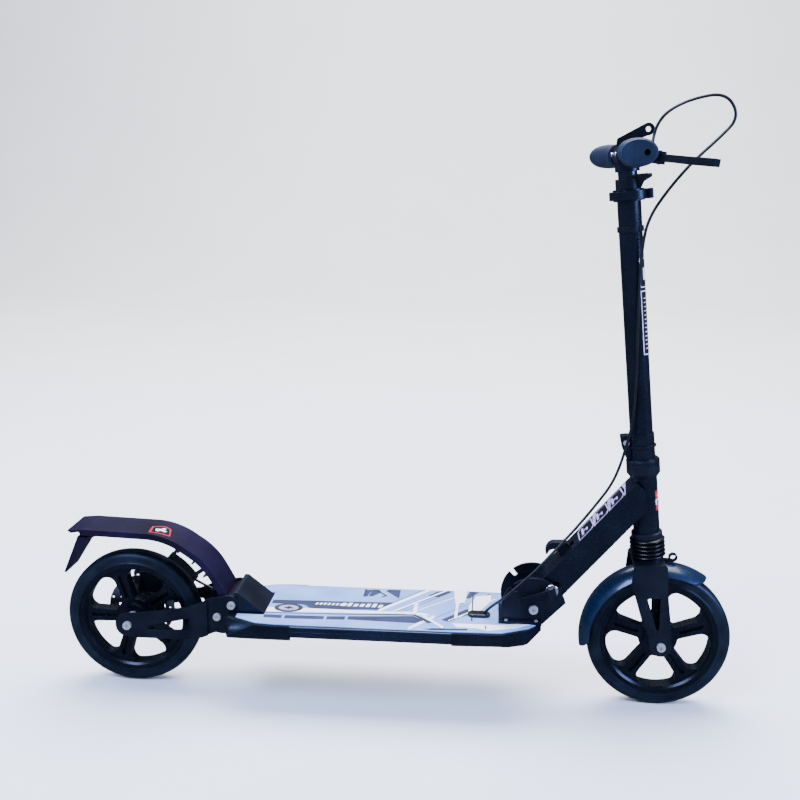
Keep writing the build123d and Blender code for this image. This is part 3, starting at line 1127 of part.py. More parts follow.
# ---------------------------------------------------------------- write every piece
save("deck_extrusion", deck_extrusion())
save("deck_rear_cap", deck_rear_cap())
save("deck_front_cap", deck_front_cap())
save("grip_tape", grip_tape())
save("rear_fork_plates", *both_sides(rear_fork_plate()))
save("heel_bracket", heel_bracket())
save("fold_bracket", fold_bracket())
save("rear_axle", *axle(REAR_X, REAR_PLATE_INNER_Y, REAR_PLATE_THICKNESS))
save("caliper_bracket", caliper_bracket())
save("caliper_body", caliper_body())
save("brake_pads", *brake_pads())
save("caliper_arm", caliper_arm())
save("cable_port", cable_port())
save("deck_bolts", *deck_bolts())
save("pivot_bolts", *pivot_bolts())
save("fender_spring", fender_spring())
save("cable_rear", cable_rear_solid)
save("rear_fender", rear_fender_solid)
save("fender_brake_pad", fender_brake_pad())
save("rear_tyre", tyre(REAR_X))
save("rear_rim", rim(REAR_X, 36))
save("rear_bearings", *bearings(REAR_X))
save("brake_disc", brake_disc())
save("down_tube", down_tube())
save("head_tube", head_tube())
save("headset_cups", *headset_cups())
save("headset_bearings", *headset_bearings())
save("pivot_sleeve", pivot_sleeve())
save("cable_lower", cable_lower_solid)
save("release_hook", release_hook())
save("latch_skewer", latch_skewer())
save("fold_lever", fold_lever())
save("outer_stem", outer_stem())
save("stem_clamp", stem_clamp_solid)
save("steerer_tube", steerer_tube())
save("height_collar", height_collar())
save("stem_bolts", stem_clamp_bolt(), collar_skewer())
save("collar_lever", collar_lever())
save("handle_clip", handle_clip())
save("cable_clips", *cable_clips())
save("stem_bushing", stem_bushing())
save("suspension_spring", suspension_spring())
save("bellows", bellows())
save("fork_plates", *both_sides(fork_plate()))
save("fork_crown", fork_crown())
save("front_fender", front_fender())
save("front_axle", *axle(FRONT_X, FRONT_PLATE_INNER_Y, FRONT_PLATE_THICKNESS))
save("front_tyre", tyre(FRONT_X))
save("front_rim", rim(FRONT_X, 18))
save("front_bearings", *bearings(FRONT_X))
save("inner_stem", inner_stem())
save("t_joint", t_joint())
save("handle_tubes", *both_sides(handle_tube()))
save("grip_right", grip(-1))
save("grip_left", grip(1))
save("brake_perch", brake_perch())
save("brake_lever", brake_lever())
save("handle_button_right", handle_button(-1))
save("handle_button_left", handle_button(1))
save("cable_upper", cable_upper_solid)
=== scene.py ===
# %% [markdown]
# # A folding kick scooter
# The working model of the scooter already exists: tubes, plates, wheels, bolts and levers, each at its
# real size and place. This lesson dresses it. It loads that model as a fixed frame, gives every part the
# finish that its maker gives it, and adds the pieces that only matter to the eye: the cable's smooth
# line, the rubber bellows, printed decals, tread marks and small screws.

# %% Load the frame
import json
from math import cos, pi, radians, sin, tan

import bmesh
import bpy
from mathutils import Matrix, Vector


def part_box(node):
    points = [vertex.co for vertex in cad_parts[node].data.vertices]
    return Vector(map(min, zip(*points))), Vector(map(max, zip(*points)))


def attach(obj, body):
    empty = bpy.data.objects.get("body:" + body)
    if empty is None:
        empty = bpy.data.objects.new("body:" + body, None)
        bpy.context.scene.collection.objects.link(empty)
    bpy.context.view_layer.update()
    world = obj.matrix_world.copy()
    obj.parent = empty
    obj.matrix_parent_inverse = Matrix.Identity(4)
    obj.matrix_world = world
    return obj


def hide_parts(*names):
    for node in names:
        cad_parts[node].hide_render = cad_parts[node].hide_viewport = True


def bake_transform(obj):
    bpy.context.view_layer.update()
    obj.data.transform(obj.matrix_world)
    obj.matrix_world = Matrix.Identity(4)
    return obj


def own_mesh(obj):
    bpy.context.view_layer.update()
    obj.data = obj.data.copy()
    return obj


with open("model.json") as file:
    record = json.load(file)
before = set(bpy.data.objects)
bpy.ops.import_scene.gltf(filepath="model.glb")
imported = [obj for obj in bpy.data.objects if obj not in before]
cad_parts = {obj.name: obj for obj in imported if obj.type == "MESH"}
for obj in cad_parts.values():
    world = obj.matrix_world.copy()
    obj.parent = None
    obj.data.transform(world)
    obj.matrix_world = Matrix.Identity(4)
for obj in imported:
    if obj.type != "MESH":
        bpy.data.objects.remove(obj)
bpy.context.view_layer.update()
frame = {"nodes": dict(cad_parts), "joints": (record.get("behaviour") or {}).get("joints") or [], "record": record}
joints = {joint["name"]: joint for joint in frame["joints"]}
scene = bpy.context.scene
MM = 0.001

# %% [markdown]
# ## Lines that everything is set out from
# The steering axis leans back a little, so anything on the stem is placed by three distances: forward of
# the axis, to the rider's left of it, and up along it. The axis comes from the steering joint itself, so
# the dressing always fits the working model.

# %% Places
stem_foot = Vector(joints["steering"]["pos_m"])
stem_up = Vector(joints["steering"]["axis"]).normalized()
LEFT = Vector((0, 1, 0))
stem_front = LEFT.cross(stem_up)
pivot = Vector(joints["fold"]["pos_m"])
front_axle = Vector(joints["front_wheel_spin"]["pos_m"])
rear_axle = Vector(joints["rear_wheel_spin"]["pos_m"])
tape_low, tape_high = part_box("grip_tape")
wheel_radius = front_axle.z


def on_stem(forward, left, up):
    """A point given in millimetres forward of, left of and up the steering axis."""
    return stem_foot + (stem_front * forward + LEFT * left + stem_up * up) * MM


def stem_matrix(up):
    """Turns a mesh drawn round +Z to stand on the steering axis."""
    turn = Matrix((stem_front, LEFT, stem_up)).transposed().to_4x4()
    return Matrix.Translation(stem_foot + stem_up * up * MM) @ turn


print("wheel radius", round(wheel_radius, 4), "stem axis", [round(v, 4) for v in stem_up])

# %% [markdown]
# ## Helpers for meshes
# A finished piece keeps its object at the origin and its place in its mesh, as the frame's own pieces do.
# Three small builders make most of the pieces: a plate cut from a flat outline, a ring turned from a
# profile, and a cable drawn as one smooth spline.


# %% Mesh helpers
def finish_piece(name, mesh, material, crease=35):
    """An object for the mesh, smooth except along edges sharper than the crease angle."""
    work = bmesh.new()
    work.from_mesh(mesh)
    bmesh.ops.remove_doubles(work, verts=work.verts, dist=1e-6)
    bmesh.ops.recalc_face_normals(work, faces=work.faces)
    work.to_mesh(mesh)
    work.free()
    mesh.name = name
    mesh.shade_smooth()
    mesh.set_sharp_from_angle(angle=radians(crease))
    mesh.materials.clear()
    mesh.materials.append(material)
    piece = bpy.data.objects.new(name, mesh)
    scene.collection.objects.link(piece)
    return piece


def plate_mesh(outlines, thickness, place, step=0.0):
    """Flat plates cut from outlines in millimetres, thick along +Z, each a step taller than the last."""
    work = bmesh.new()
    for number, outline in enumerate(outlines):
        low = [work.verts.new((x * MM, y * MM, 0)) for x, y in outline]
        high = [work.verts.new((x * MM, y * MM, (thickness + number * step) * MM)) for x, y in outline]
        work.faces.new(low)
        work.faces.new(high)
        for index in range(len(outline)):
            follow = (index + 1) % len(outline)
            work.faces.new((low[index], low[follow], high[follow], high[index]))
    mesh = bpy.data.meshes.new("plate")
    work.to_mesh(mesh)
    work.free()
    mesh.transform(place)
    return mesh


def turned_mesh(profile, place, steps=64):
    """A closed ring turned round +Z from its (radius, height) profile in millimetres."""
    work = bmesh.new()
    rings = []
    for index in range(steps):
        angle = 2 * pi * index / steps
        rings.append([work.verts.new((r * MM * cos(angle), r * MM * sin(angle), h * MM)) for r, h in profile])
    for index, ring in enumerate(rings):
        follow = rings[(index + 1) % steps]
        for low in range(len(profile)):
            high = (low + 1) % len(profile)
            work.faces.new((ring[low], follow[low], follow[high], ring[high]))
    mesh = bpy.data.meshes.new("turned")
    work.to_mesh(mesh)
    work.free()
    mesh.transform(place)
    return mesh


def across(x, y, z):
    """Lays a mesh drawn round +Z on its side, so that its axis points along +Y."""
    return Matrix.Translation((x, y, z)) @ Matrix.Rotation(radians(-90), 4, "X")


def circle_points(radius, count, start=0.0, end=360.0):
    """Points on an arc, in millimetres, both ends included unless it closes."""
    span = count if end - start == 360.0 else count - 1
    angles = [radians(start + (end - start) * index / span) for index in range(count)]
    return [(radius * cos(angle), radius * sin(angle)) for angle in angles]


# %% [markdown]
# ## Colours and a recipe for finishes
# Paint charts give colours as sRGB hex values, and a shader wants linear light, so one function converts
# them. Real coatings are never one flat tone. The recipe below lets a slow cloud of noise shift the
# colour and the gloss a little, lays a fine grain over it as bump, and rounds the light on sharp edges.


# %% Shader helpers
def linear(hex_colour):
    """Linear RGBA of an sRGB hex colour."""
    channels = [int(hex_colour[start:start + 2], 16) / 255 for start in (1, 3, 5)]
    return [c / 12.92 if c <= 0.04045 else ((c + 0.055) / 1.055) ** 2.4 for c in channels] + [1.0]


def add_node(tree, kind, inputs=None, **settings):
    """A node with its settings; an input is a value, or another node's output to link."""
    node = tree.nodes.new(kind)
    for name, value in settings.items():
        setattr(node, name, value)
    for key, value in (inputs or {}).items():
        if isinstance(value, bpy.types.NodeSocket):
            tree.links.new(value, node.inputs[key])
        else:
            node.inputs[key].default_value = value
    return node


def make_finish(name, main, shade, gloss, cloud_mm, grain_mm, depth_mm, stretch=(1, 1, 1), edge_mm=0.5,
                **shader_values):
    """A finish that clouds between two colours and two roughnesses, with a grain of a real size."""
    material = bpy.data.materials.new(name)
    material.use_nodes = True
    tree = material.node_tree
    shader = tree.nodes["Principled BSDF"]
    for key, value in shader_values.items():
        shader.inputs[key.replace("_", " ")].default_value = value
    place = add_node(tree, "ShaderNodeTexCoord").outputs["Object"]
    drawn = add_node(tree, "ShaderNodeMapping", {"Vector": place, "Scale": stretch}).outputs["Vector"]
    cloud = add_node(tree, "ShaderNodeTexNoise", {"Vector": place, "Scale": 1000 / cloud_mm, "Detail": 4.0})
    grain = add_node(tree, "ShaderNodeTexNoise", {"Vector": drawn, "Scale": 1000 / grain_mm, "Detail": 3.0})
    tint = add_node(tree, "ShaderNodeMapRange", {"Value": cloud.outputs["Fac"], "From Min": 0.35, "From Max": 0.65})
    colour = add_node(tree, "ShaderNodeMix", {"Factor": tint.outputs["Result"], "A": linear(main),
                                              "B": linear(shade)}, data_type="RGBA")
    rough = add_node(tree, "ShaderNodeMapRange", {"Value": grain.outputs["Fac"], "From Min": 0.3,
                                                  "From Max": 0.7, "To Min": gloss[0], "To Max": gloss[1]})
    bump = add_node(tree, "ShaderNodeBump", {"Height": grain.outputs["Fac"], "Distance": depth_mm * MM})
    if edge_mm:
        edge = add_node(tree, "ShaderNodeBevel", {"Radius": edge_mm * MM}, samples=6)
        tree.links.new(edge.outputs["Normal"], bump.inputs["Normal"])
    tree.links.new(colour.outputs["Result"], shader.inputs["Base Color"])
    tree.links.new(rough.outputs["Result"], shader.inputs["Roughness"])
    tree.links.new(bump.outputs["Normal"], shader.inputs["Normal"])
    return material


# %% [markdown]
# ## Paint
# The tubes and the cast deck ends are powder coated: pigment melted onto the metal, which leaves a
# satin skin with the faint dimples known as orange peel, a couple of millimetres across. The side plates
# have the same coat in plain black. A dusting of flatter tone keeps large faces from looking empty.

# %% Paint finishes
FINISH = {}
FINISH["frame_paint"] = make_finish("powder_coat_navy_black", "#05070D", "#0B0F18", (0.24, 0.36), 70, 2.2, 0.03,
                                    Specular_IOR_Level=0.3, Coat_Weight=0.12, Coat_Roughness=0.2, Specular_Tint=linear("#AFC4EC"))
FINISH["black_paint"] = make_finish("powder_coat_black", "#090B11", "#12151D", (0.30, 0.46), 45, 1.8, 0.04,
                                    edge_mm=0.9, Specular_IOR_Level=0.32, Specular_Tint=linear("#B4C4E6"))
print("paints", len(FINISH))

# %% [markdown]
# ## Plastics
# The front fender is polished ABS, so it mirrors the lights softly. The rear fender comes from another
# mould and batch, with an indigo cast. Clips and the wheels are glass-filled nylon, whose surface is
# spark-eroded in the mould: a dry, fine grain.

# %% Plastic finishes
FINISH["fender_paint"] = make_finish("gloss_abs_blue_black", "#0A1526", "#0F2038", (0.26, 0.34), 90, 6.0, 0.0006,
                                     edge_mm=0, Coat_Weight=0.4, Coat_Roughness=0.16, Specular_Tint=linear("#A9C2F0"))
FINISH["rear_fender_plastic"] = make_finish("moulded_abs_indigo", "#0C0816", "#161028", (0.30, 0.40), 80, 1.6, 0.02,
                                            edge_mm=1.0, Specular_IOR_Level=0.35, Specular_Tint=linear("#B9A8E0"))
FINISH["black_plastic"] = make_finish("textured_nylon", "#07080D", "#0E1017", (0.36, 0.52), 40, 0.9, 0.04,
                                     Specular_IOR_Level=0.35, Specular_Tint=linear("#B4C4E6"))
FINISH["rim_plastic"] = make_finish("glass_filled_nylon", "#05060A", "#0B0D13", (0.22, 0.34), 60, 1.4, 0.03,
                                    edge_mm=0.9, Specular_IOR_Level=0.3, Coat_Weight=0.08, Coat_Roughness=0.2,
                                    Specular_Tint=linear("#B4C6EE"))
FINISH["cable"] = make_finish("pvc_cable_housing", "#07080C", "#0F1116", (0.28, 0.38), 30, 1.2, 0.01, edge_mm=0)
print("plastics ready, finishes so far", len(FINISH))

# %% [markdown]
# ## Rubber and tyre
# The tyres are cast polyurethane, harder and shinier than rubber. The bellows and pads are black rubber,
# dull with bloom. The grips are a soft grey-blue moulding with fine rings, which a wave pattern draws in
# rings round the handlebar on their ends and along it on their sides.

# %% Rubber finishes
FINISH["tyre"] = make_finish("cast_polyurethane", "#090C12", "#141A24", (0.32, 0.48), 28, 2.4, 0.05,
                             Specular_IOR_Level=0.4, Specular_Tint=linear("#AEC3EA"))
FINISH["rubber"] = make_finish("black_rubber", "#06070A", "#0D0E12", (0.22, 0.34), 25, 1.0, 0.02)
FINISH["grip_rubber"] = make_finish("soft_grip_rubber", "#121A29", "#1A2436", (0.44, 0.58), 30, 0.8, 0.03, edge_mm=0,
                                  Specular_Tint=linear("#A9BEEE"))


def add_rings(material, bar, spacing_mm, depth_mm):
    """Lays moulded rings over a finish: distance from the bar and distance along it make the wave."""
    tree = material.node_tree
    bump = next(node for node in tree.nodes if node.bl_idname == "ShaderNodeBump")
    place = next(node for node in tree.nodes if node.bl_idname == "ShaderNodeTexCoord").outputs["Object"]
    moved = add_node(tree, "ShaderNodeMapping", {"Vector": place, "Location": (-bar.x, 0, -bar.z)})
    wave = add_node(tree, "ShaderNodeTexWave", {"Vector": moved.outputs["Vector"],
                                                "Scale": 1000 / spacing_mm / 20 * pi},
                    wave_type="RINGS", rings_direction="Y")
    along = add_node(tree, "ShaderNodeTexWave", {"Vector": moved.outputs["Vector"],
                                                 "Scale": 1000 / (2 * spacing_mm) / 20 * pi},
                     wave_type="BANDS", bands_direction="Y")
    facing = add_node(tree, "ShaderNodeSeparateXYZ", {"Vector": add_node(tree, "ShaderNodeNewGeometry")
                                                      .outputs["Normal"]})
    size = add_node(tree, "ShaderNodeMath", {0: facing.outputs["Y"]}, operation="ABSOLUTE")
    ends = add_node(tree, "ShaderNodeMath", {0: size.outputs[0], 1: 0.9}, operation="GREATER_THAN")
    height = add_node(tree, "ShaderNodeMix", {"Factor": ends.outputs[0], "A": along.outputs["Fac"],
                                              "B": wave.outputs["Fac"]})
    rings = add_node(tree, "ShaderNodeBump", {"Height": height.outputs["Result"], "Distance": depth_mm * MM})
    tree.links.new(rings.outputs["Normal"], bump.inputs["Normal"])


grip_low, grip_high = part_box("handle_tubes")
bar_centre = (grip_low + grip_high) / 2
add_rings(FINISH["grip_rubber"], bar_centre, 2.6, 0.16)
print("handlebar axis at", [round(v, 4) for v in bar_centre])

# %% [markdown]
# ## Metal
# Bolts and axles are zinc plated, a cool grey with a faint mottle. The dome washer at the fold and the
# snap buttons are chrome. The brake disc is ground steel: its scratches run along one direction, so the
# grain is stretched. The clamps are anodised black, and the deck is a black anodised extrusion whose die
# lines run along its length.

# %% Metal finishes
FINISH["steel"] = make_finish("zinc_plated_steel", "#B4B8BE", "#C9CCD1", (0.22, 0.34), 12, 0.8, 0.02, Metallic=0.6)
FINISH["chrome"] = make_finish("bright_chrome", "#DADDE2", "#E6E8EB", (0.05, 0.12), 20, 4.0, 0.004, Metallic=1.0)
FINISH["disc_steel"] = make_finish("ground_disc_steel", "#8C9096", "#A2A6AD", (0.24, 0.40), 20, 0.9, 0.02,
                                   stretch=(6, 1, 0.6), Metallic=1.0)
FINISH["aluminium"] = make_finish("black_chromed_tube", "#080A10", "#0E1118", (0.18, 0.28), 50, 3.0, 0.01,
                                  Coat_Weight=0.3, Coat_Roughness=0.15, Specular_Tint=linear("#AFC4EC"))
FINISH["dark_aluminium"] = make_finish("black_anodised_aluminium", "#07080E", "#0E1018", (0.24, 0.34), 30, 1.0,
                                       0.02, Specular_IOR_Level=0.4, Specular_Tint=linear("#AFC4EC"))
FINISH["deck_aluminium"] = make_finish("anodised_deck_extrusion", "#05080F", "#0B1120", (0.20, 0.30), 60, 1.2,
                                       0.02, stretch=(0.05, 1, 1), edge_mm=1.8, Coat_Weight=0.2, Coat_Roughness=0.12,
                                       Specular_Tint=linear("#A4C0F6"))
print("metals ready, finishes so far", len(FINISH))

# %% [markdown]
# ## Grip tape and printing inks
# The tape is polyester film loaded with grit, printed before it is cut. Its grains are drawn about 1 mm
# across, coarser than real grit, so that they show. Inks printed on the tape share its grit. The decals
# elsewhere are smooth vinyl.

# %% Tape and ink finishes
FINISH["tape"] = make_finish("grit_tape_ice_blue", "#6E8FCC", "#84A3DA", (0.62, 0.85), 60, 1.1, 0.15)
INK = {
    "band": make_finish("tape_ink_steel_blue", "#121D3C", "#1C2B50", (0.62, 0.85), 30, 1.1, 0.18),
    "white": make_finish("tape_ink_white", "#EEF2FA", "#FAFBFE", (0.60, 0.82), 40, 1.1, 0.15),
    "navy": make_finish("tape_ink_navy", "#070D1E", "#0E1730", (0.60, 0.82), 25, 1.1, 0.15),
    "vinyl_white": make_finish("vinyl_white", "#E8E6EC", "#F2F1F4", (0.28, 0.36), 30, 2.0, 0.01),
    "vinyl_lilac": make_finish("vinyl_lilac", "#9F90C4", "#B4A6D4", (0.28, 0.36), 25, 2.0, 0.01),
    "vinyl_red": make_finish("vinyl_red", "#B3202E", "#C42B38", (0.26, 0.34), 25, 2.0, 0.01),
    "vinyl_black": make_finish("vinyl_black", "#0B0810", "#150F1C", (0.30, 0.40), 25, 2.0, 0.01,
                               Specular_IOR_Level=0.25),
}
print("inks", sorted(INK))

# %% [markdown]
# ## Dress the frame
# The record names a material slot for every part, so one loop gives each its finish. A few parts differ
# from their slot: the disc is ground rather than plated, and the friction parts are duller.

# %% Give every part its finish
OWN_FINISH = {"brake_disc": "disc_steel", "caliper_body": "black_plastic", "caliper_bracket": "disc_steel"}
for part in frame["record"]["subparts"]:
    node = frame["nodes"][part["node"]]
    finish = FINISH[OWN_FINISH.get(part["node"], part["material_slot"])]
    node.data.materials.clear()
    node.data.materials.append(finish)
print("dressed", len(frame["nodes"]), "parts")

# %% [markdown]
# ## Notched rims of the folding plates
# Each folding plate is a full sector with a notch at each end of the skewer's arc. The working model
# leaves the rim between the notches open so that the skewer can travel. Here the rim is put back as a
# plate of the same thickness, cut from two arcs, because that is the outline that the eye reads.

# %% Sector rims
sector_low, sector_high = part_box("fold_bracket")
RIM_OUTER, RIM_INNER = 45.5, 34.2
RIM_START, RIM_END = 49.4 + 5.2, 133.4 - 5.2
RIM_THICKNESS = 4.0
rim_outline = circle_points(RIM_OUTER, 30, RIM_START, RIM_END) + circle_points(RIM_INNER, 30, RIM_END, RIM_START)
for side, name in ((1, "left"), (-1, "right")):
    inner_y = 0.028 if side > 0 else -0.032
    stand = Matrix.Translation((pivot.x, inner_y + RIM_THICKNESS * MM, pivot.z)) @ Matrix.Rotation(pi / 2, 4, "X")
    piece = finish_piece(f"sector_rim_{name}", plate_mesh([rim_outline], RIM_THICKNESS, stand),
                         FINISH["black_paint"])
    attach(piece, "deck")
print("sector rims between", RIM_START, "and", RIM_END, "degrees")

# %% [markdown]
# ## Rubber bellows
# A moulded bellows hides the sprung steerer. Its profile is a smooth wave, so a cosine draws it, and the
# ring is turned round the steering axis. The headset holds its top.

# %% Bellows
bellows_low, bellows_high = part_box("bellows")
BELLOWS_FOOT, BELLOWS_TOP = 121.4, 150.1
BELLOWS_FOLDS = 5
FOLD_STEPS = 12
bellows_profile = []
for step in range(BELLOWS_FOLDS * FOLD_STEPS + 1):
    share = step / (BELLOWS_FOLDS * FOLD_STEPS)
    swell = 0.5 - 0.5 * cos(2 * pi * BELLOWS_FOLDS * share)
    bellows_profile.append((20.2 + 4.2 * swell ** 0.7, share * (BELLOWS_TOP - BELLOWS_FOOT)))
bellows_profile += [(15.7, BELLOWS_TOP - BELLOWS_FOOT), (15.7, 0)]
bellows = finish_piece("bellows_skin", turned_mesh(bellows_profile, stem_matrix(BELLOWS_FOOT), 96), FINISH["rubber"])
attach(bellows, "steering")
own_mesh(bellows)
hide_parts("bellows")
print("bellows", round(BELLOWS_TOP - BELLOWS_FOOT, 1), "mm long at rest")

# %% [markdown]
# ## Brake cable
# The housing is one long flexible tube. It leaves the lever, makes a free loop in front of the bar, runs
# down the stem through a clip, crosses to the down tube and dives into the deck. A spline with these
# points as its controls gives the relaxed curve that joined straight runs can't. The points are the ones
# that the working model was laid out with. It is cut where it passes from one moving part to the next.

# %% Cable
CABLE_RADIUS = 2.0


def cable_piece(name, route, radius, material):
    """A tube round one smooth spline through millimetre points measured from the rear axle."""
    curve = bpy.data.curves.new(name, "CURVE")
    curve.dimensions = "3D"
    curve.bevel_depth = radius * MM
    curve.bevel_resolution = 4
    curve.resolution_u = 14
    curve.use_fill_caps = True
    spline = curve.splines.new("NURBS")
    spline.points.add(len(route) - 1)
    for point, (x, y, z) in zip(spline.points, route):
        point.co = (rear_axle.x + x * MM, y * MM, z * MM, 1)
    spline.order_u = 3
    spline.use_endpoint_u = True
    line = bpy.data.objects.new(name + "_line", curve)
    scene.collection.objects.link(line)
    bpy.context.view_layer.update()
    drawn = line.evaluated_get(bpy.context.evaluated_depsgraph_get())
    mesh = bpy.data.meshes.new_from_object(drawn)
    bpy.data.objects.remove(line)
    return finish_piece(name, mesh, material, crease=60)


UPPER_ROUTE = [
    (711.2, -53.3, 762.8), (711.5, -38.0, 767.0), (713.0, -26.0, 784.0),
    (717.0, -27.0, 803.0), (729.0, -33.0, 820.0), (757.0, -39.0, 834.0),
    (797.0, -44.0, 841.0), (815.0, -44.0, 811.0), (790.0, -41.0, 784.0),
    (762.0, -36.0, 757.0), (735.0, -27.0, 722.0), (714.0, -18.5, 686.0),
    (708.3, -16.8, 650.0), (707.0, -17.4, 600.0), (708.0, -18.3, 540.0),
    (709.5, -18.3, 480.0), (709.3, -18.4, 428.0), (705.0, -19.0, 398.0),
    (700.0, -17.0, 376.0),
]
CROSSING_ROUTE = [
    (699.85, -17.0, 375.4), (694.0, -17.0, 352.0), (683.0, -18.0, 325.0),
    (664.0, -20.0, 298.0), (640.0, -24.0, 267.0), (626.0, -27.5, 251.5),
]
NECK_ROUTE = [
    (626.0, -27.5, 251.5), (612.0, -31.0, 236.0), (585.0, -37.0, 206.0),
    (560.0, -38.0, 181.0), (540.0, -36.0, 161.0), (526.0, -24.5, 146.0),
    (517.5, -15.0, 134.0), (511.5, -13.0, 126.0),
]
DECK_ROUTE = [
    (511.2, -12.9, 125.6), (505.0, -11.3, 118.0), (490.0, -10.6, 115.0),
    (440.0, -9.0, 115.5), (330.0, -8.0, 115.3), (245.0, -3.0, 115.5),
    (205.0, 14.0, 114.5), (172.0, 22.0, 114.7), (150.0, 22.5, 116.0),
    (131.0, 24.0, 126.5), (108.0, 25.5, 133.5), (86.0, 28.0, 144.0),
    (66.0, 33.5, 152.5), (47.0, 39.5, 157.0), (30.3, 41.8, 157.5),
]
WIRE_ROUTE = [(30.3, 41.8, 157.5), (14.0, 41.9, 156.4), (-1.0, 42.0, 154.5)]


def route_point(point):
    return (rear_axle.x + point[0] * MM, point[1] * MM, point[2] * MM)


upper = cable_piece("cable_loop_and_stem", UPPER_ROUTE, CABLE_RADIUS, FINISH["cable"])
crossing = cable_piece("cable_crossing", CROSSING_ROUTE, CABLE_RADIUS, FINISH["cable"])
neck_run = cable_piece("cable_along_neck", NECK_ROUTE, CABLE_RADIUS, FINISH["cable"])
deck_run = cable_piece("cable_under_deck", DECK_ROUTE, CABLE_RADIUS, FINISH["cable"])
wire = cable_piece("brake_wire", WIRE_ROUTE, 0.8, FINISH["steel"])
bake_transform(upper)
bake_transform(crossing)
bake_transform(neck_run)
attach(deck_run, "deck")
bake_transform(wire)
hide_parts("cable_upper")
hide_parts("cable_lower")
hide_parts("cable_rear")
print("cable lengths made:", [piece.name for piece in (upper, crossing, neck_run, deck_run, wire)])

# %% [markdown]
# ## Suspension spring
# The spring stands inside the steerer. It is wound as a helix of round wire.

# %% Suspension spring
SPRING_LOW, SPRING_HIGH, SPRING_TRAVEL = 200.1, 261.4, 15.0
SPRING_RADIUS, WIRE_RADIUS, SPRING_PITCH, POINTS_A_TURN = 9.5, 1.3, 7.0, 12
spring_length = SPRING_HIGH - SPRING_LOW - 2 * WIRE_RADIUS - 0.2
spring_route = []
for step in range(int(spring_length / SPRING_PITCH * POINTS_A_TURN) + 1):
    turn = 2 * pi * step / POINTS_A_TURN
    place = on_stem(SPRING_RADIUS * cos(turn), SPRING_RADIUS * sin(turn),
                    SPRING_LOW + WIRE_RADIUS + 0.1 + SPRING_PITCH * step / POINTS_A_TURN)
    spring_route.append(((place.x - rear_axle.x) / MM, place.y / MM, place.z / MM))
coil = cable_piece("spring_coil", spring_route, WIRE_RADIUS, FINISH["steel"])
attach(coil, "steering")
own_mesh(coil)
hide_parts("suspension_spring")
print("spring turns", round(spring_length / SPRING_PITCH, 1))

# %% [markdown]
# ## Deck edges
# The long sides of the aluminium deck end in a deep rounded edge that hides the chamfered underside.

# %% Deck edges
extrusion_low, extrusion_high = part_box("deck_extrusion")
EDGE_PROFILE = [(0, 10), (0, 3.4), (-0.6, 1.6), (-1.8, 0.5), (-3.4, 0.1), (-9, 0.1), (-1.4, 9)]
edge_length = (extrusion_high.x - extrusion_low.x) / MM
for side, name in ((1, "left"), (-1, "right")):
    lay = Matrix(((0, 0, 1, extrusion_low.x), (side, 0, 0, side * extrusion_high.y),
                  (0, 1, 0, extrusion_low.z), (0, 0, 0, 1)))
    piece = finish_piece(f"deck_edge_{name}", plate_mesh([EDGE_PROFILE], edge_length, lay), FINISH["deck_aluminium"])
    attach(piece, "deck")
print("deck edges", round(edge_length), "mm long")

# %% [markdown]
# ## A node tree for socket screws
# Small screws repeat in rings, so Geometry Nodes make them. The tree cuts a hexagonal socket into a round
# head, sets one head on each point of a circle, and turns the instances into plain mesh. Its sizes are
# named inputs. The tree's result is read back as a mesh, so no modifier stays on the piece.


# %% Screw ring tree
def new_tree(name, sizes):
    """A geometry tree with an output and the named float or whole-number inputs."""
    tree = bpy.data.node_groups.new(name, "GeometryNodeTree")
    tree.interface.new_socket("Geometry", in_out="OUTPUT", socket_type="NodeSocketGeometry")
    for label, value in sizes.items():
        kind = "NodeSocketInt" if isinstance(value, int) else "NodeSocketFloat"
        socket = tree.interface.new_socket(label, in_out="INPUT", socket_type=kind)
        socket.default_value = value
    tree.interface.new_socket("Material", in_out="INPUT", socket_type="NodeSocketMaterial")
    return tree


def finish_tree(tree, given, instances):
    """Makes the instances real, sets their material and sends them out."""
    real = add_node(tree, "GeometryNodeRealizeInstances", {"Geometry": instances})
    painted = add_node(tree, "GeometryNodeSetMaterial", {"Geometry": real.outputs["Geometry"],
                                                         "Material": given.outputs["Material"]})
    add_node(tree, "NodeGroupOutput", {"Geometry": painted.outputs["Geometry"]})


def grown_mesh(tree, sizes, material):
    """The tree's mesh for these sizes."""
    holder = bpy.data.objects.new(tree.name, bpy.data.meshes.new(tree.name))
    scene.collection.objects.link(holder)
    modifier = holder.modifiers.new("grow", "NODES")
    modifier.node_group = tree
    for item in tree.interface.items_tree:
        if item.in_out == "INPUT":
            modifier[item.identifier] = material if item.name == "Material" else sizes[item.name]
    bpy.context.view_layer.update()
    grown = holder.evaluated_get(bpy.context.evaluated_depsgraph_get())
    mesh = bpy.data.meshes.new_from_object(grown)
    holder.modifiers.remove(modifier)
    bpy.data.objects.remove(holder)
    return mesh


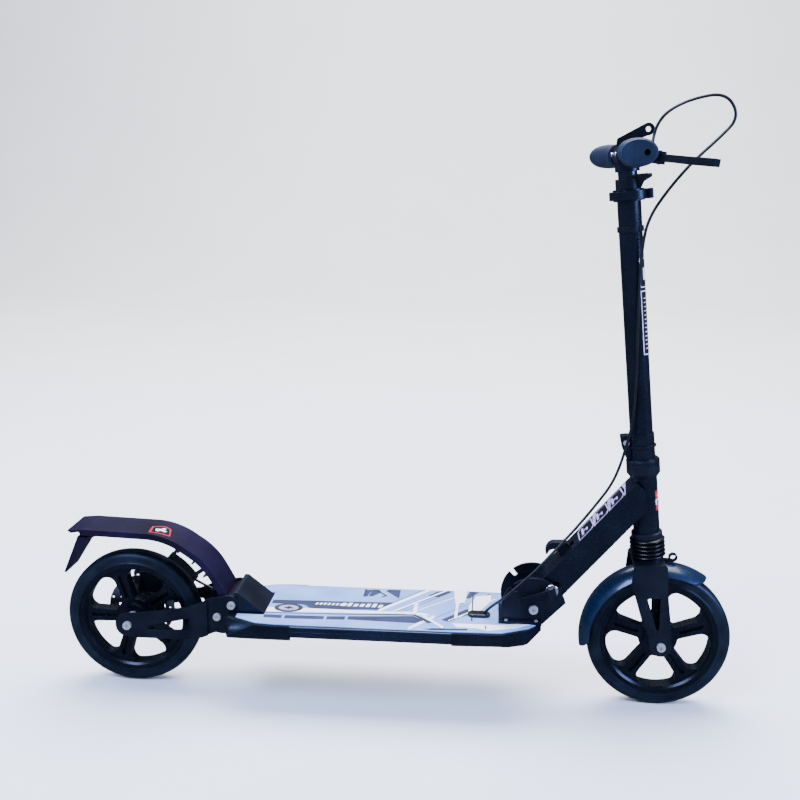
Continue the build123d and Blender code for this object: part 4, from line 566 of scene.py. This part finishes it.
SCREW_SIZES = {"Count": 5, "Ring Radius": 15 * MM, "Head Radius": 2.4 * MM, "Head Height": 1.6 * MM}
screw_tree = new_tree("socket_screws", SCREW_SIZES)
given = add_node(screw_tree, "NodeGroupInput")
head = add_node(screw_tree, "GeometryNodeMeshCylinder", {"Vertices": 20, "Radius": given.outputs["Head Radius"],
                                                         "Depth": given.outputs["Head Height"]})
half = add_node(screw_tree, "ShaderNodeMath", {0: given.outputs["Head Radius"], 1: 0.55}, operation="MULTIPLY")
socket = add_node(screw_tree, "GeometryNodeMeshCylinder", {"Vertices": 6, "Radius": half.outputs[0],
                                                           "Depth": given.outputs["Head Height"]})
raised = add_node(screw_tree, "ShaderNodeCombineXYZ", {"Z": given.outputs["Head Height"]})
lifted = add_node(screw_tree, "GeometryNodeTransform", {"Geometry": socket.outputs["Mesh"],
                                                        "Translation": raised.outputs["Vector"]})
sunk = add_node(screw_tree, "GeometryNodeTransform", {"Geometry": lifted.outputs["Geometry"],
                                                      "Translation": (0, 0, -0.7 * MM)})
cut = add_node(screw_tree, "GeometryNodeMeshBoolean", {"Mesh 1": head.outputs["Mesh"],
                                                       "Mesh 2": sunk.outputs["Geometry"]}, operation="DIFFERENCE")
ring = add_node(screw_tree, "GeometryNodeMeshCircle", {"Vertices": given.outputs["Count"],
                                                       "Radius": given.outputs["Ring Radius"]})
screws = add_node(screw_tree, "GeometryNodeInstanceOnPoints", {"Points": ring.outputs["Mesh"],
                                                               "Instance": cut.outputs["Mesh"]})
finish_tree(screw_tree, given, screws.outputs["Instances"])
print("screw tree with", len(screw_tree.nodes), "nodes")

# %% [markdown]
# ## Where the screws go
# Five screws hold the brake disc to its boss. The ring is made flat and then turned to face sideways.

# %% Screws
disc_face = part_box("brake_disc")[1].y
disc_screw_sizes = {"Count": 5, "Ring Radius": 16.0 * MM, "Head Radius": 1.9 * MM, "Head Height": 1.4 * MM}
mesh = grown_mesh(screw_tree, disc_screw_sizes, FINISH["steel"])
mesh.transform(across(rear_axle.x, disc_face, rear_axle.z))
disc_screws = finish_piece("disc_screws", mesh, FINISH["steel"])
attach(disc_screws, "rear_wheel")
print("screws on the disc", disc_screw_sizes["Count"])

# %% [markdown]
# ## Tread marks
# The tyres are nearly slick, with shallow slanted dashes on each shoulder. A second tree sets one thin
# bar on each point of a circle and turns it to face outwards, slanted the same way all round.

# %% Tread tree
TREAD_SIZES = {"Count": 48, "Ring Radius": 96.4 * MM, "Bar Length": 7 * MM, "Bar Width": 1.2 * MM, "Slant": 0.9}
tread_tree = new_tree("tread_dashes", TREAD_SIZES)
given = add_node(tread_tree, "NodeGroupInput")
bar_size = add_node(tread_tree, "ShaderNodeCombineXYZ", {"X": 0.9 * MM, "Y": given.outputs["Bar Width"],
                                                         "Z": given.outputs["Bar Length"]})
bar = add_node(tread_tree, "GeometryNodeMeshCube", {"Size": bar_size.outputs["Vector"]})
lean = add_node(tread_tree, "ShaderNodeCombineXYZ", {"X": given.outputs["Slant"]})
leaning = add_node(tread_tree, "GeometryNodeTransform", {"Geometry": bar.outputs["Mesh"],
                                                         "Rotation": lean.outputs["Vector"]})
ring = add_node(tread_tree, "GeometryNodeMeshCircle", {"Vertices": given.outputs["Count"],
                                                       "Radius": given.outputs["Ring Radius"]})
outward = add_node(tread_tree, "FunctionNodeAlignRotationToVector",
                   {"Vector": add_node(tread_tree, "GeometryNodeInputPosition").outputs["Position"]}, axis="X")
dashes = add_node(tread_tree, "GeometryNodeInstanceOnPoints", {"Points": ring.outputs["Mesh"],
                                                               "Instance": leaning.outputs["Geometry"],
                                                               "Rotation": outward.outputs["Rotation"]})
finish_tree(tread_tree, given, dashes.outputs["Instances"])

SHOULDER_Y = 10.6
for wheel, axle in (("front_wheel", front_axle), ("rear_wheel", rear_axle)):
    for side, label in ((1, "left"), (-1, "right")):
        sizes = dict(TREAD_SIZES)
        sizes["Slant"] = 0.9 * side
        mesh = grown_mesh(tread_tree, sizes, FINISH["tyre"])
        mesh.transform(across(axle.x, side * SHOULDER_Y * MM, axle.z))
        piece = finish_piece(f"{wheel}_tread_{label}", mesh, FINISH["tyre"])
        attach(piece, wheel)
print("tread dashes a side", TREAD_SIZES["Count"])

# %% [markdown]
# ## Rings on the wheels
# Each tyre has a raised bead line where it meets the rim, and each hub a bright ring round its bearing.
# Both are small turned rings.

# %% Wheel rings
BEAD_PROFILE = [(82.6, -0.6), (84.6, -0.6), (85.4, 0.2), (84.6, 0.9), (82.6, 0.9)]
SHIELD_PROFILE = [(6.2, -0.5), (9.6, -0.5), (9.6, 0.35), (6.2, 0.35)]
for wheel, axle in (("front_wheel", front_axle), ("rear_wheel", rear_axle)):
    for side, label in ((1, "left"), (-1, "right")):
        flip = Matrix.Scale(side, 4, (0, 0, 1))
        bead = turned_mesh(BEAD_PROFILE, across(axle.x, side * 14.4 * MM, axle.z) @ flip, 160)
        piece = finish_piece(f"{wheel}_bead_{label}", bead, FINISH["tyre"])
        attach(piece, wheel)
        shield = turned_mesh(SHIELD_PROFILE, across(axle.x, side * 16.9 * MM, axle.z) @ flip, 48)
        piece = finish_piece(f"{wheel}_bearing_shield_{label}", shield, FINISH["disc_steel"])
        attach(piece, wheel)
print("rings on two wheels, both sides")

# %% [markdown]
# ## Printed pattern of the grip tape
# The pattern is flat ink, so each colour is one piece: thin plates a sixth of a millimetre high, laid on
# the tape. Outlines are given in millimetres along the deck and across it. Long bands run from the heel,
# and white diagonals cross towards the front.

# %% Tape pattern
INK_HEIGHT, INK_STEP = 0.15, 0.004


def strip(x0, y0, x1, y1, width):
    """A straight band between two points, its ends cut along the deck's length."""
    return [(x0, y0 - width / 2), (x1, y1 - width / 2), (x1, y1 + width / 2), (x0, y0 + width / 2)]


def block(x0, x1, y0, y1, skew=0.0):
    return [(x0, y0), (x1, y0), (x1 + skew, y1), (x0 + skew, y1)]


TAPE_PATTERN = {
    "band": [
        [(-176, 13), (-60, 17), (2, 20), (-14, -8), (-60, -12), (-118, -12), (-124, -4), (-132, 0), (-176, 0)],
        [(-178, -40), (-152, -40), (-152, -51), (-178, -50)], [(-148, -40), (-92, -38), (-92, -49), (-148, -51)],
        [(-88, -38), (-62, -36), (-62, -47), (-88, -49)],
        [(-58, -35), (-16, -31), (34, -25), (50, -41), (38, -49), (-58, -46)],
        [(-46, 62), (-34, 66), (-40, 38), (-46, 38)], [(-34, 66), (-24, 66), (-20, 56), (-32, 40), (-38, 40)],
        [(0, 68), (8, 68), (8, 36), (-14, 62), (-10, 68)],
        [(62, 66), (72, 72), (86, 72), (66, 46), (50, 50)], [(112, 72), (126, 72), (112, 46), (106, 46)],
        [(74, -34), (108, 6), (120, 6), (120, -4), (84, -40)], [(100, 22), (108, 34), (104, 52), (98, 44)],
        [(50, -66), (112, -60), (112, -66), (60, -70)], [(128, 34), (146, 60), (140, 66), (122, 44)],
    ],
    "white": [
        [(-178, -14), (-120, -13), (-60, -14), (-10, -13), (20, -11), (50, -14), (58, -20), (46, -22),
         (20, -19), (-60, -23), (-178, -30)],
        strip(-18, -12, 52, 74, 10), strip(4, -12, 78, 74, 5), strip(30, -68, 64, -24, 10),
        strip(46, -20, 78, -60, 8), [(88, 74), (108, 74), (106, 30), (92, 24)],
        [(112, -14), (122, -14), (144, 40), (144, 62), (122, 56), (112, 20)],
        [(90, -44), (152, -44), (208, -32), (180, -52), (140, -64), (124, -58), (96, -56)],
        strip(40, -4, 96, 54, 2.4), block(32, 38, -14, 22), strip(84, -36, 120, 4, 2.6),
        block(92, 96, -28, 72, 2), strip(98, -24, 150, 48, 3),
    ],
    "navy": [
        strip(-24, -12, 44, 74, 1.6), strip(6, -16, 80, 72, 1.6), strip(14, -16, 88, 72, 1.2),
        [(-178, -33), (-60, -27), (36, -19), (62, -44), (56, -48), (34, -23), (-60, -29.5), (-178, -35)],
        strip(36, -30, 50, -46, 1.6), block(116, 118, -34, 70), strip(66, -28, 118, 34, 1.0),
        [(-32, 66), (-28, 66), (-10, 44), (-16, 38), (-20, 38), (-14, 44)], block(136, 138, -60, -48),
        [(60, -64), (80, -62), (80, -66), (62, -68)], block(-46, -43, 38, 66),
    ],
}
LEVELS = {"band": 0.0, "white": 0.06, "navy": 0.12}
for ink, outlines in TAPE_PATTERN.items():
    lay = Matrix.Translation((0, 0, tape_high.z + LEVELS[ink] * MM - 0.02 * MM))
    pattern = plate_mesh(outlines, INK_HEIGHT, lay, INK_STEP)
    piece = finish_piece(f"tape_print_{ink}", pattern, INK[ink])
    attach(piece, "deck")
LETTER_BLOCKS = [block(x, x + 3.4, 1.5, 6.5 + (x % 3), 1.6) for x in range(-112, -60, 6)]
LETTER_BLOCKS += [block(x, x + 5.6, 0, 9 + (x % 4), 2.2) for x in range(-74, -18, 9)]
lay = Matrix.Translation((0, 0, tape_high.z + 0.1 * MM))
blocks = finish_piece("tape_print_blocks", plate_mesh(LETTER_BLOCKS, INK_HEIGHT, lay, INK_STEP / 2), INK["white"])
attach(blocks, "deck")
print("printed shapes", sum(len(outlines) for outlines in TAPE_PATTERN.values()) + len(LETTER_BLOCKS))

# %% [markdown]
# ## Heel badge
# An oval badge marks where the heel rests: a dark ring, a lilac field and a plain star shape in it.

# %% Heel badge
BADGE_X, BADGE_Y = -148, -14


def oval(length, width, steps=40):
    return [(BADGE_X + x * length / 2, BADGE_Y + y * width / 2) for x, y in circle_points(1.0, steps)]


star = [(BADGE_X + x * (1 if index % 2 else 0.45) * 1.5, BADGE_Y + y * (1 if index % 2 else 0.45))
        for index, (x, y) in enumerate(circle_points(6.5, 12))]
BADGE_LAYERS = [
    ("badge_ring", [oval(42, 30)], "navy", 0.10),
    ("badge_field", [oval(29, 19)], "vinyl_lilac", 0.20),
    ("badge_star", [star], "navy", 0.28),
]
for name, outlines, ink, level in BADGE_LAYERS:
    lay = Matrix.Translation((0, 0, tape_high.z + level * MM))
    piece = finish_piece(name, plate_mesh(outlines, INK_HEIGHT, lay), INK[ink])
    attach(piece, "deck")
print("badge layers", len(BADGE_LAYERS))

# %% [markdown]
# ## Decals on the down tube
# The top face of the slanting tube carries a row of lilac blocks with dark angular marks. They are
# generic shapes. The face's slope comes from the fold pivot and the tube's angle.

# %% Down tube decals
TUBE_ANGLE = radians(49.4)
TUBE_HALF_DEPTH = 18.0
tube_along = Vector((cos(TUBE_ANGLE), 0, sin(TUBE_ANGLE)))
tube_out = Vector((-sin(TUBE_ANGLE), 0, cos(TUBE_ANGLE)))
tube_turn = Matrix((tube_along, LEFT * -1, tube_out)).transposed().to_4x4()


def on_tube(lift):
    """Lays a flat mesh on the tube's top face: X runs up the tube, Y to the rider's right."""
    corner = pivot + tube_out * (TUBE_HALF_DEPTH + lift) * MM
    return Matrix.Translation(corner) @ tube_turn


DECAL_PLACES = [116.0, 146.0, 176.0]
lilac_shapes, white_shapes, dark_shapes = [], [], []
for base in DECAL_PLACES:
    lilac_shapes.append([(base - 2, 20), (base + 24, 20), (base + 28, 12), (base + 26, -20), (base + 2, -20),
                         (base - 2, -12)])
    dark_shapes.append([(base, 18), (base + 22, 18), (base + 26, 11), (base + 24, -18), (base + 3, -18),
                        (base, -11)])
    white_shapes.append([(base + 27, 21), (base + 30, 21), (base + 36, -21), (base + 29, -21), (base + 31, 0)])
    white_shapes.append([(base + 5, 12), (base + 9, 12), (base + 9, 2), (base + 14, 2), (base + 14, 8), (base + 17, 8),
                         (base + 17, -2), (base + 9, -2), (base + 9, -12), (base + 5, -12)])
for name, shapes, ink, lift in (("tube_decal_outline", lilac_shapes, "vinyl_lilac", 0.0),
                                ("tube_decal_field", dark_shapes, "vinyl_black", 0.08),
                                ("tube_decal_marks", white_shapes, "vinyl_lilac", 0.14)):
    piece = finish_piece(name, plate_mesh(shapes, INK_HEIGHT, on_tube(lift), INK_STEP), INK[ink])
    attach(piece, "neck")
print("tube decals", len(DECAL_PLACES))

# %% [markdown]
# ## Curved labels
# A label on a tube is a thin curved sheet. This helper bends rectangles, given as angles round the
# steering axis and heights up it, round a radius just above the tube's own.


# %% Curved label helper
def curved_mesh(patches, radius, thickness=0.12, step=4.0):
    """Thin patches bent round the steering axis; each is start angle, end angle, foot and top."""
    work = bmesh.new()
    for start, end, foot, top in patches:
        count = max(2, int(abs(end - start) / step) + 1)
        rows = []
        for reach in (radius, radius + thickness):
            for height in (foot, top):
                rows.append([work.verts.new((x * MM, y * MM, height * MM))
                             for x, y in circle_points(reach, count, start, end)])
        for index in range(count - 1):
            corner = [(row[index], row[index + 1]) for row in rows]
            for first, second in ((0, 1), (1, 3), (3, 2), (2, 0)):
                work.faces.new((corner[first][0], corner[first][1], corner[second][1], corner[second][0]))
        work.faces.new((rows[0][0], rows[1][0], rows[3][0], rows[2][0]))
        work.faces.new((rows[0][-1], rows[1][-1], rows[3][-1], rows[2][-1]))
    mesh = bpy.data.meshes.new("label")
    work.to_mesh(mesh)
    work.free()
    mesh.transform(stem_matrix(0))
    return mesh


# %% [markdown]
# ## Stem label and head badge
# The front of the stem has a tall panel with a white outline and rows of small plain bars. The head tube
# has a round-cornered red and white badge.

# %% Stem label and head badge
LABEL_LOW, LABEL_HIGH = 408.0, 537.0
OUTER_RADIUS = 15.5
frame_lines = []
for low, high in ((LABEL_LOW, LABEL_LOW + 86), (LABEL_LOW + 90, LABEL_HIGH)):
    frame_lines += [(-62, -58, low, high), (18, 22, low, high), (-62, 22, low, low + 1.4),
                    (-62, 22, high - 1.4, high)]
bars = []
for row in range(13):
    reach = (34, 52, 26, 44)[row % 4]
    bars.append((-46, -46 + reach * 0.8, LABEL_LOW + 8 + row * 5.6, LABEL_LOW + 9.0 + row * 5.6))
bars.append((-40, 0, LABEL_LOW + 100, LABEL_LOW + 116))
HEAD_RADIUS = 18.0
PATCHES = [
    ("stem_label_field", "steering", [(-62, 22, LABEL_LOW, LABEL_HIGH)], OUTER_RADIUS, "vinyl_black"),
    ("stem_label_lines", "steering", frame_lines + bars, OUTER_RADIUS + 0.13, "vinyl_white"),
    ("head_badge_field", "neck", [(-44, 44, 190, 218)], HEAD_RADIUS, "vinyl_red"),
    ("head_badge_band", "neck", [(-44, 44, 198, 206), (-30, 30, 209, 212)], HEAD_RADIUS + 0.13, "vinyl_white"),
    ("head_badge_bars", "neck", [(-34, -22, 198.5, 203.5), (-16, -4, 198.5, 203.5), (4, 16, 198.5, 203.5),
                                 (22, 34, 198.5, 203.5)], HEAD_RADIUS + 0.26, "vinyl_black"),
]
for name, body, patches, radius, ink in PATCHES:
    piece = finish_piece(name, curved_mesh(patches, radius), INK[ink])
    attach(piece, body)
print("curved labels", len(PATCHES))

# %% [markdown]
# ## Sticker on the rear fender
# A small sticker with a red edge sits where the fender's top begins to curve down. Vinyl follows the
# surface that it is stuck to, so the flat shapes are cut into strips and wrapped over the curve.

# %% Fender sticker
CURVE_CENTRE = Vector((rear_axle.x + 0.0246, 0, 0.1305))
CURVE_RADIUS = 106.55
CURVE_START = 0.033


def bend_over_fender(mesh):
    """Wraps a flat mesh, X along and Y across, over the fender's curve."""
    work = bmesh.new()
    work.from_mesh(mesh)
    for cut in range(2, 44, 3):
        everything = work.verts[:] + work.edges[:] + work.faces[:]
        bmesh.ops.bisect_plane(work, geom=everything, plane_co=(cut * MM, 0, 0), plane_no=(1, 0, 0))
    for vert in work.verts:
        angle = CURVE_START + vert.co.x / (CURVE_RADIUS * MM)
        reach = CURVE_RADIUS * MM + vert.co.z
        vert.co = CURVE_CENTRE + Vector((sin(angle) * reach, vert.co.y, cos(angle) * reach))
    work.to_mesh(mesh)
    work.free()


STICKER_LAYERS = [
    ("fender_sticker_edge", [[(4, -25), (36, -22), (30, 3), (20, 8), (2, 0)]], "vinyl_red", 0.0),
    ("fender_sticker_field", [[(7, -22), (33, -19), (28, 1), (20, 5), (5, -1)]], "vinyl_black", 0.1),
    ("fender_sticker_mark", [[(11, -15), (15, -17), (18, -12), (25, -14), (27, -9), (22, -7), (24, -1), (19, 0),
                              (17, -6), (10, -7)]], "vinyl_white", 0.2),
]
for name, outlines, ink, lift in STICKER_LAYERS:
    flat = plate_mesh(outlines, INK_HEIGHT, Matrix.Translation((0, 0, lift * MM)))
    bend_over_fender(flat)
    piece = finish_piece(name, flat, INK[ink])
    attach(piece, "fender")
print("sticker layers", len(STICKER_LAYERS))

# %% [markdown]
# ## Knurled cable adjuster
# Where the housing meets the lever there is a small knurled barrel for taking up slack. A third tree sets
# ribs round a cylinder.

# %% Adjusters
KNURL_SIZES = {"Ribs": 18, "Radius": 4.1 * MM, "Length": 5.0 * MM, "Rib Radius": 0.45 * MM}
knurl_tree = new_tree("knurled_barrel", KNURL_SIZES)
given = add_node(knurl_tree, "NodeGroupInput")
core = add_node(knurl_tree, "GeometryNodeMeshCylinder", {"Vertices": 36, "Radius": given.outputs["Radius"],
                                                         "Depth": given.outputs["Length"]})
rib = add_node(knurl_tree, "GeometryNodeMeshCylinder", {"Vertices": 8, "Radius": given.outputs["Rib Radius"],
                                                        "Depth": given.outputs["Length"]})
ring = add_node(knurl_tree, "GeometryNodeMeshCircle", {"Vertices": given.outputs["Ribs"],
                                                       "Radius": given.outputs["Radius"]})
ribs = add_node(knurl_tree, "GeometryNodeInstanceOnPoints", {"Points": ring.outputs["Mesh"],
                                                             "Instance": rib.outputs["Mesh"]})
whole = add_node(knurl_tree, "GeometryNodeJoinGeometry")
knurl_tree.links.new(core.outputs["Mesh"], whole.inputs["Geometry"])
knurl_tree.links.new(ribs.outputs["Instances"], whole.inputs["Geometry"])
finish_tree(knurl_tree, given, whole.outputs["Geometry"])

perch_end = Vector(route_point(UPPER_ROUTE[0]))
stop_end = Vector(route_point(DECK_ROUTE[-1]))
ADJUSTERS = [
    ("lever_adjuster", "t_bar", KNURL_SIZES, across(*(perch_end - Vector((0, 0.0035, 0.0006))))),
    ("caliper_adjuster", "deck", {"Ribs": 14, "Radius": 3.4 * MM, "Length": 6.0 * MM, "Rib Radius": 0.4 * MM},
     Matrix.Translation(stop_end + Vector((0.0075, -0.0008, -0.0001))) @ Matrix.Rotation(pi / 2, 4, "Y")),
]
for name, body, sizes, place in ADJUSTERS:
    mesh = grown_mesh(knurl_tree, sizes, FINISH["dark_aluminium"])
    mesh.transform(place)
    piece = finish_piece(name, mesh, FINISH["dark_aluminium"])
    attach(piece, body)
print("adjusters", len(ADJUSTERS))

# %% [markdown]
# ## Studio
# A plain pale floor and soft, large lights suit a dark object: each tube picks up one long highlight from
# a softbox, and the pale backdrop draws its edges. The floor sweeps up behind the scooter, as a roll of
# studio paper does, so no horizon shows. The room is dim behind the scooter and brighter on the camera's
# side, and the floor shows in no reflection, which keeps the black parts black. The floor belongs to the
# stage, not to the scooter.

# %% Floor
FLOOR_WIDTH, FLOOR_FRONT, FLOOR_BACK, SWEEP_RADIUS, SWEEP_TOP = 26000, -9000, 4500, 2500, 9000
floor_finish = make_finish("matt_white_floor", "#F6F7F9", "#FAFBFC", (0.85, 0.95), 400, 20.0, 0.02, edge_mm=0)
sweep = [(FLOOR_FRONT, 0)]
sweep += [(FLOOR_BACK + x, SWEEP_RADIUS + y) for x, y in circle_points(SWEEP_RADIUS, 24, -90, 0)]
sweep += [(FLOOR_BACK + SWEEP_RADIUS, SWEEP_TOP)]
outline = sweep + [(x + 20, y - 20) for x, y in reversed(sweep)]
stand_up = Matrix(((0, 0, 1, -FLOOR_WIDTH / 2 * MM), (1, 0, 0, 0), (0, 1, 0, -0.0002), (0, 0, 0, 1)))
floor = finish_piece("floor", plate_mesh([outline], FLOOR_WIDTH, stand_up), floor_finish)
floor.visible_glossy = False
print("floor", FLOOR_WIDTH * MM, "m wide")

# %% Lights
ROOM_NEAR, ROOM_FAR = 0.50, 0.12
world = bpy.data.worlds.new("pale_surroundings")
world.use_nodes = True
sky = world.node_tree
facing = add_node(sky, "ShaderNodeSeparateXYZ",
                  {"Vector": add_node(sky, "ShaderNodeTexCoord").outputs["Generated"]})
strength = add_node(sky, "ShaderNodeMapRange", {"Value": facing.outputs["Y"], "From Min": -0.6, "From Max": 0.6,
                                                "To Min": ROOM_NEAR, "To Max": ROOM_FAR})
sky.nodes["Background"].inputs["Color"].default_value = linear("#B9CCFA")
sky.links.new(strength.outputs["Result"], sky.nodes["Background"].inputs["Strength"])
scene.world = world
target = Vector((0.05, 0, 0.35))
LIGHTS = [
    ("key_softbox", (-1.2, -1.6, 2.6), target, 1.2, 120, "#C3D3FF"),
    ("side_softbox", (2.4, -0.9, 1.3), target, 1.0, 90, "#A9C0FF"),
    ("rear_softbox", (-2.4, 0.2, 1.4), target, 0.9, 40, "#A9C0FF"),
    ("top_softbox", (0.1, 0.7, 2.6), target, 1.4, 50, "#C9D7FF"),
    ("backdrop_softbox", (0.0, 2.6, 4.6), Vector((0, 3.4, 0)), 5.0, 760, "#FFFDF8"),
]
for name, place, aim, size, power, tone in LIGHTS:
    data = bpy.data.lights.new(name, "AREA")
    data.size = size
    data.energy = power
    data.color = linear(tone)[:3]
    light = bpy.data.objects.new(name, data)
    light.location = place
    light.rotation_euler = (aim - Vector(place)).to_track_quat("-Z", "Y").to_euler()
    scene.collection.objects.link(light)
print("lights", len(LIGHTS))

# %% [markdown]
# ## Camera
# The camera stands a long step from the rider's right side, at shoulder height of a child, looking a
# little down and a little to the rear. Its three angles are given in radians.

# %% Camera
CAMERA_PLACE = (0.13796, -1.42455, 0.74376)
YAW, PITCH, ROLL = 0.0888, 0.2133, 0.005
SENSOR_WIDTH, FOCAL_LENGTH = 36.0, 47.49
ahead = Vector((-sin(YAW) * cos(PITCH), cos(YAW) * cos(PITCH), -sin(PITCH)))
level = Vector((cos(YAW), sin(YAW), 0))
above = level.cross(ahead)
right = level * cos(ROLL) + above * sin(ROLL)
up = above * cos(ROLL) - level * sin(ROLL)
camera_data = bpy.data.cameras.new("camera")
camera_data.sensor_width = SENSOR_WIDTH
camera_data.lens = FOCAL_LENGTH
camera = bpy.data.objects.new("camera", camera_data)
camera.matrix_world = Matrix.Translation(CAMERA_PLACE) @ Matrix((right, up, -ahead)).transposed().to_4x4()
scene.collection.objects.link(camera)
scene.camera = camera
print("camera", CAMERA_PLACE)
